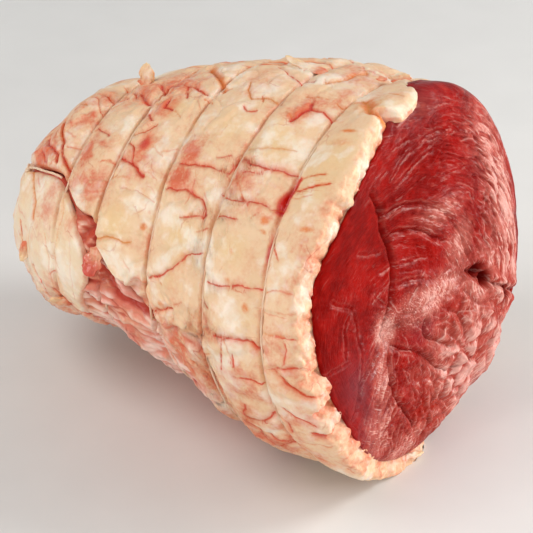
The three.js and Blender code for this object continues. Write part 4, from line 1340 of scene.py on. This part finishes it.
class Finish:
    """The node tree of one material."""

    def __init__(self, name, slot_values):
        self.material = bpy.data.materials.new(name)
        self.material.use_nodes = True
        self.tree = self.material.node_tree
        self.surface = self.tree.nodes["Principled BSDF"]
        for key, value in slot_values.items():
            self.surface.inputs[key].default_value = value
        self.place = self.node("TexCoord", output="Object")

    def node(self, kind, settings=None, inputs=None, output=0):
        """Any node: its type, its settings, and the values or links of its sockets."""
        node = self.tree.nodes.new("ShaderNode" + kind)
        for key, value in (settings or {}).items():
            setattr(node, key, value)
        for key, value in (inputs or {}).items():
            if isinstance(value, Signal):
                self.tree.links.new(value.socket, node.inputs[key])
            else:
                node.inputs[key].default_value = value
        return Signal(self, node.outputs[output])

    def noise(self, size, detail, roughness, place=None):
        """Random value about 0.5, in lumps of that many millimetres."""
        return self.node("TexNoise", {}, {"Vector": place or self.place, "Scale": 1000 / size,
                                          "Detail": detail, "Roughness": roughness})

    def vector(self, operation, first, second=None):
        """Vector Math of two vectors, of a vector and a scale, or of one vector alone."""
        inputs = {0: first}
        if second is not None:
            inputs["Scale" if operation == "SCALE" else 1] = second
        return self.node("VectorMath", {"operation": operation}, inputs,
                         "Value" if operation == "LENGTH" else "Vector")

    def maths(self, operation, first, second=0.0):
        return self.node("Math", {"operation": operation}, {0: first, 1: second})

    def mix(self, amount, first, second):
        """Blends two colours, each a signal or a fixed one."""
        return self.node("Mix", {"data_type": "RGBA"}, {0: amount, 6: first, 7: second}, 2)

    def coats(self, colour, *coats):
        """Lays colours over one another from the bottom up, each by its own amount."""
        for amount, over in coats:
            colour = self.mix(amount, colour, over)
        return colour

    def attribute(self, name, output="Color"):
        return self.node("Attribute", {"attribute_name": name}, output=output)

    def parts(self, name):
        """The first three channels of an attribute."""
        first = self.node("SeparateColor", {}, {0: self.attribute(name)})
        return [Signal(self, socket) for socket in first.socket.node.outputs]

    def bump(self, height, depth, below=None):
        """Bump of that many millimetres for a height from 0 to 1."""
        inputs = {"Height": height, "Distance": depth / 1000, "Strength": 1.0}
        if below:
            inputs["Normal"] = below
        return self.node("Bump", {}, inputs)

    def wear(self, **links):
        """Links signals to the surface's own sockets and gives the finished material."""
        for key, signal in links.items():
            self.tree.links.new(signal.socket, self.surface.inputs[key.replace("_", " ")])
        return self.material


def fat_finish(name, ivory, pink):
    """Soft moist fat: ivory and butter patches, blushes, vessels, stains and stained creases."""
    look = Finish(name, {
        "Roughness": 0.42, "Specular IOR Level": 0.35, "Subsurface Weight": 0.18,
        "Subsurface Radius": (1.0, 0.5, 0.3), "Subsurface Scale": 0.002, "Coat Weight": 0.05,
        "Coat Roughness": 0.18,
    })
    blush, butter, blood = look.parts("tint")
    amber = look.attribute("tint", "Alpha")
    line, red_line, gold_line = look.parts("crease")
    broad = look.noise(14, 4, 0.55)
    mottle = look.noise(4.5, 4, 0.6)
    fine = look.noise(1.3, 4, 0.65)
    pinkness = (blush * (mottle * 1.3 + fine * 0.7 - 0.15) + (broad - 0.5) * 0.9
                + (mottle - 0.5) * 1.0 + (fine - 0.5) * 0.6 + 0.13).between(0.04, 1.15)
    yellowness = (butter * 0.9 + (0.5 - broad) * 0.8
                  + (mottle - 0.5) * 0.3 - 0.12).between(0, 0.95)
    pale = ((0.5 - broad) * 1.5 + (mottle - 0.5) * 0.7 + 0.5).between(0.44, 0.78)
    golden = (amber * (0.35 + fine * 1.3)).between(0.15, 0.85)
    bloody = (blood * (0.1 + mottle * 1.1 + fine * 0.7)).between(0.08, 0.95)
    # hair-thin vessels
    sway = look.node("TexNoise", {}, {"Vector": look.place, "Scale": 160.0, "Detail": 3.0}, "Color")
    bent = look.vector("ADD", look.place, look.vector("SCALE", sway, 0.006))
    threads = look.node("TexVoronoi", {"feature": "DISTANCE_TO_EDGE"},
                        {"Vector": bent, "Scale": 85.0})
    vein = (1 - threads.between(0.0, 0.03)) * look.noise(11, 2, 0.5).between(0.54, 0.7)
    # the creases themselves: a fine dark line down a paler, redder valley
    away = look.maths("ABSOLUTE", line + (fine - 0.5) * 1.1 + (mottle - 0.5) * 0.8)
    core = (1 - away.between(0.0, 0.5)) * (mottle + fine * 0.6).between(0.5, 0.85)
    colour = look.coats(
        look.mix(pinkness, ivory, pink),
        (yellowness * 0.85, BUTTER_FAT),
        (pale * (1 - blush.between(0.3, 1.0) * 0.7) * 0.75, CREAM_FAT),
        (vein * (0.35 + blush * 0.5), VEIN_RED),
        (golden * 0.9, AMBER_STAIN),
        (bloody * 0.85 + blood.between(1.0, 1.4) * 0.15,
         look.mix(blood.between(0.45, 1.05), THIN_BLOOD, FRESH_BLOOD)),
        (core * gold_line.between(0.0, 0.6) * 0.9, AMBER_CREASE),
        (core * red_line.between(0.0, 0.45) * 0.95, RED_CREASE))
    wet = 0.44 - blood * 0.2 + (fine - 0.5) * 0.3 + (mottle - 0.5) * 0.2
    cut = 1 - core * (red_line + gold_line).between(0.0, 0.9)
    dents = look.bump(fine, 0.2, look.bump(mottle, 0.5, look.bump(cut, 0.08)))
    return look.wear(Base_Color=colour, Roughness=wet, Normal=dents,
                     Coat_Weight=0.06 + blood.between(0.2, 1.0) * 0.35 + pale * 0.15)


# middle of the rings that the fibres of the cut follow, in metres
FIBRE_HUB = (0.072, -0.026, 0.066)


def lean_finish():
    """Dark wet lean with fibres, silver film partly painted as sheen, painted glints, seams with
    painted shade and, low in front, pink membrane.
    """
    look = Finish("lean_beef", {
        "Roughness": 0.34, "Specular IOR Level": 0.04, "Specular Tint": (1.0, 0.4, 0.35, 1.0),
        "Subsurface Weight": 0.06, "Subsurface Radius": (1.0, 0.15, 0.08),
        "Subsurface Scale": 0.0015, "Coat Weight": 0.1, "Coat Roughness": 0.2,
    })
    film_and_sheen, painted_shade, purple = look.parts("flesh")
    lobed = look.attribute("flesh", "Alpha")
    veil, streak, _ = look.parts("veil")
    line, seam_shade, glint = look.parts("seam")
    broad = look.noise(16, 4, 0.55)
    mottle = look.noise(5, 5, 0.6)
    fine = look.noise(1.1, 4, 0.6)
    # fibres run in rings round the knot of the cut
    flat = look.vector("MULTIPLY", look.vector("SUBTRACT", look.place, FIBRE_HUB), (0.0, 1.0, 1.0))
    far = look.vector("LENGTH", flat)
    ring = look.vector("SCALE", look.vector("NORMALIZE", flat), 9.0)
    rings = look.vector("ADD", ring, look.node("CombineXYZ", {}, {"X": far * 800 + mottle * 0.8}))
    rings_fine = look.vector(
        "ADD", ring, look.node("CombineXYZ", {}, {"X": far * 1900 + mottle * 1.5}))
    fibre = look.noise(1000, 4.0, 0.6, rings)
    thread = look.noise(1000, 3.0, 0.6, rings_fine)
    # the film's pink cover: partly real film, partly a painted sheen
    film_and_sheen_cover = (film_and_sheen * 1.1 + (mottle - 0.5) * 0.6 + (fibre - 0.5) * 0.5 - 0.17).between(0.0, 0.9)
    # painted sheen: pale streaks over the film
    sheen_streaks = (film_and_sheen * 1.0 + (thread - 0.5) * 1.2 + (mottle - 0.5) * 1.0 + (broad - 0.5) * 0.7
              - 0.6).between(0.0, 0.5)
    # painted glints: thin pale lines, mostly over the film
    glint_lines = thread.between(0.58, 0.68) * (
        broad.between(0.45, 0.6) * 0.2 + film_and_sheen.between(0.1, 0.7) * 0.7)
    # a line of painted shade down each seam, and a painted glint beside it
    ridge = line + (fine - 0.5) * 0.9 + (mottle - 0.5) * 0.7
    core = (1 - look.maths("ABSOLUTE", ridge).between(0.05, 0.5)) * seam_shade
    # painted glint beside each seam
    beside = ridge.between(0.2, 0.5) * (1 - ridge.between(0.55, 1.1)) * glint
    beside = beside * mottle.between(0.4, 0.6)
    # pink membrane, paler where its film and painted sheen lie
    skin_tone = look.coats(
        MEMBRANE_PINK,
        ((film_and_sheen + (mottle - 0.5) * 0.7).between(0.15, 0.75), PALE_MEMBRANE_AND_SHEEN),
        (broad.between(0.45, 0.65) * 0.4, MEMBRANE_AMBER))
    colour = look.coats(
        DEEP_LEAN,
        ((broad + (mottle - 0.5) * 0.6).between(0.3, 0.7), BRIGHT_LEAN),
        (lobed * (0.3 + mottle * 0.4), LOBE_RED),
        (fibre.between(0.45, 0.75) * 0.3, FIBRE_RED),
        (purple * 0.55, BRUISE),
        (film_and_sheen_cover * 0.72, FILM_AND_SHEEN_PINK),
        (sheen_streaks * film_and_sheen.between(0.2, 0.7) * 0.7, PAINTED_SHEEN_PINK),
        (glint_lines * 0.45, PAINTED_GLINT_PINK),
        # painted shade
        ((painted_shade + (fine - 0.5) * 0.2).between(0.15, 1.0) * 0.9, SHADE_RED),
        (beside * (0.2 + film_and_sheen * 0.5), SEAM_GLINT),
        (core * 0.5, SEAM_SHADE_RED),
        ((veil * 1.1 + (fine - 0.5) * 0.3).between(0.2, 0.9) * 0.92, skin_tone),
        ((streak * (0.6 + mottle * 0.8)).between(0.15, 0.95) * 0.8, STREAK_RED))
    gloss = 0.33 + (fine - 0.5) * 0.3 + (mottle - 0.5) * 0.15 - film_and_sheen * 0.06
    dents = look.bump(fine, 0.12, look.bump(1 - core, 0.12))
    dents = look.bump(thread, 0.3, look.bump(fibre, 0.45, dents))
    wet = (film_and_sheen * 0.4 + glint_lines * 0.3 + veil * 0.3) * (1 - painted_shade.between(0.1, 0.6))
    return look.wear(Base_Color=colour, Roughness=gloss, Coat_Weight=wet, Normal=dents)


def twine_finish():
    """Pale cotton twine with painted shade between its strands, stained where it lies in the fat.
    """
    look = Finish("butchers_twine", {"Roughness": 0.6, "Specular IOR Level": 0.2})
    ridge = look.parts("lay")[0]
    stains = look.noise(9, 3, 0.5)
    fluff = look.noise(0.5, 3, 0.6)
    # painted shade in the hollows between the strands, paler on their crests
    colour = look.coats(TWINE_SHADE, (ridge.between(0.1, 0.8), TWINE_PALE),
                        (stains.between(0.42, 0.7) * 0.7, TWINE_STAIN))
    return look.wear(Base_Color=colour, Roughness=0.42 + fluff * 0.3, Normal=look.bump(fluff, 0.15))


def board_finish():
    look = Finish("pale_board", {"Roughness": 0.7, "Specular IOR Level": 0.2})
    speckle = look.noise(30, 3, 0.5)
    return look.wear(Base_Color=look.mix(speckle, BOARD_GREY, BOARD_PALE),
                     Roughness=0.66 + speckle * 0.1)


# ---- the joint ----

fat_look = fat_finish("wrap_fat", IVORY_FAT, PINK_FAT)
flap_look = fat_finish("pale_fat", IVORY_FLAP, PINK_FLAP)
lean_look = lean_finish()
twine_look = twine_finish()

for name, sheet, first, last in (
        ("fat_wrap_front", two_layers(620, 138), 0, SHEET_JOIN + 0.2),
        ("fat_wrap_rear", two_layers(400, 212), SHEET_JOIN - 0.2, SHEET_END)):
    wrap = finish_piece(
        sheet, name, lambda flat: wrap_place(flat, first, last), fat_look, 70)
    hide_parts("fat_cover")
for tag_name, tag_row in TAGS.items():
    tag_piece(tag_name, tag_row, fat_look)

flap = finish_piece(two_layers(230, 110), "flap_fold", flap_place, flap_look)
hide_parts("end_flap")

for name, bm, place in (
        ("lean_face", two_layers(300, 290), face_place),
        ("lean_body", ball(420, 222), body_place)):
    lean = finish_piece(bm, name, place, lean_look)
    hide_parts("lean_meat")

for number, at in enumerate(TWINE_AT, 1):
    loop = twine_point(at, np.linspace(0, 360, LOOP_POINTS, endpoint=False))
    string = twine_piece(f"twine_{number}", loop, True, 1e-5, twine_look)
    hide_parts(f"string_loop_{number}")

tail_at = np.linspace(126, 155, TAIL_POINTS)
tail_out = (0.4 * np.sin(tail_at / 2.1) - 1.4 + 1.6 * ramp(tail_at, 132, 142)
            + ramp(tail_at, 146, 152))
tail = skin(tail_at, along(FRONT_EDGE, tail_at) - FLAP_GAP * 0.6, tail_out)
knot_turn = np.linspace(0, KNOT_TURN, KNOT_POINTS)[:, None]
knot = tail[-1] + KNOT_RADIUS * (
    (1 - np.cos(knot_turn)) * (0.5, -0.6, 0.3) + np.sin(knot_turn) * (0.2, 0.3, 0.9)
    + np.sin(0.7 * knot_turn) * (-0.6, -0.5, 0.2))
string = twine_piece("twine_tail", np.vstack([tail, knot[1:]]), False, 2e-5, twine_look)
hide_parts("string_end")


# ---- board, light and camera ----

BOARD_HALF = 1.5
WHITE = (1, 1, 1)
# place, aim, width in metres, watts, colour
LIGHTS = {
    "key": ((-0.35, -0.55, 1.1), (0, 0, 0.06), 0.7, 5.2, (1.0, 0.98, 0.96)),
    "fill": ((0.9, -0.8, 0.4), (0.02, 0, 0.06), 0.8, 3.1, WHITE),
    "rear": ((0.75, 0.5, 0.8), (0, 0, 0.08), 0.5, 6.0, WHITE),
    "side": ((0.8, 0.35, 0.15), (0.05, 0, 0.06), 0.4, 4.2, WHITE),
    "low": ((-0.75, -0.8, 0.12), (-0.03, 0, 0.04), 0.6, 3.6, WHITE),
}
SKY = (0.95, 0.97, 1.0, 1)
SKY_STRENGTH = 0.4
AZIMUTH, ELEVATION, CAMERA_DISTANCE = math.radians(30), math.radians(32), 0.9
AIM = Vector((0.00658, 0.0011, 0.0541))
LENS, SENSOR = 160, 36


def floor_piece():
    """The board that the joint lies on."""
    bm = bmesh.new()
    bmesh.ops.create_grid(bm, x_segments=1, y_segments=1, size=BOARD_HALF)
    mesh = bpy.data.meshes.new("board")
    bm.to_mesh(mesh)
    bm.free()
    floor = add_object("board", mesh)
    floor.data.materials.append(board_finish())


def set_up(thing, place, heading):
    """Puts a lamp or the camera in its place, looking along its heading."""
    thing.location = place
    thing.rotation_euler = heading.to_track_quat("-Z", "Y").to_euler()


floor_piece()
for name, (place, aim, width, watts, colour) in LIGHTS.items():
    light = bpy.data.lights.new(name, "AREA")
    light.shape = "DISK"
    light.size, light.energy, light.color = width, watts, colour
    set_up(add_object(name, light), place, Vector(aim) - Vector(place))

world = bpy.data.worlds.new("studio")
world.use_nodes = True
background = world.node_tree.nodes["Background"]
background.inputs["Color"].default_value = SKY
background.inputs["Strength"].default_value = SKY_STRENGTH
bpy.context.scene.world = world
bpy.context.scene.view_settings.view_transform = "Standard"

toward = Vector((math.sin(AZIMUTH) * math.cos(ELEVATION),
                 -math.cos(AZIMUTH) * math.cos(ELEVATION), math.sin(ELEVATION)))
camera_data = bpy.data.cameras.new("camera")
camera_data.lens, camera_data.sensor_width = LENS, SENSOR
camera = add_object("camera", camera_data)
set_up(camera, AIM + toward * CAMERA_DISTANCE, -toward)
bpy.context.scene.camera = camera
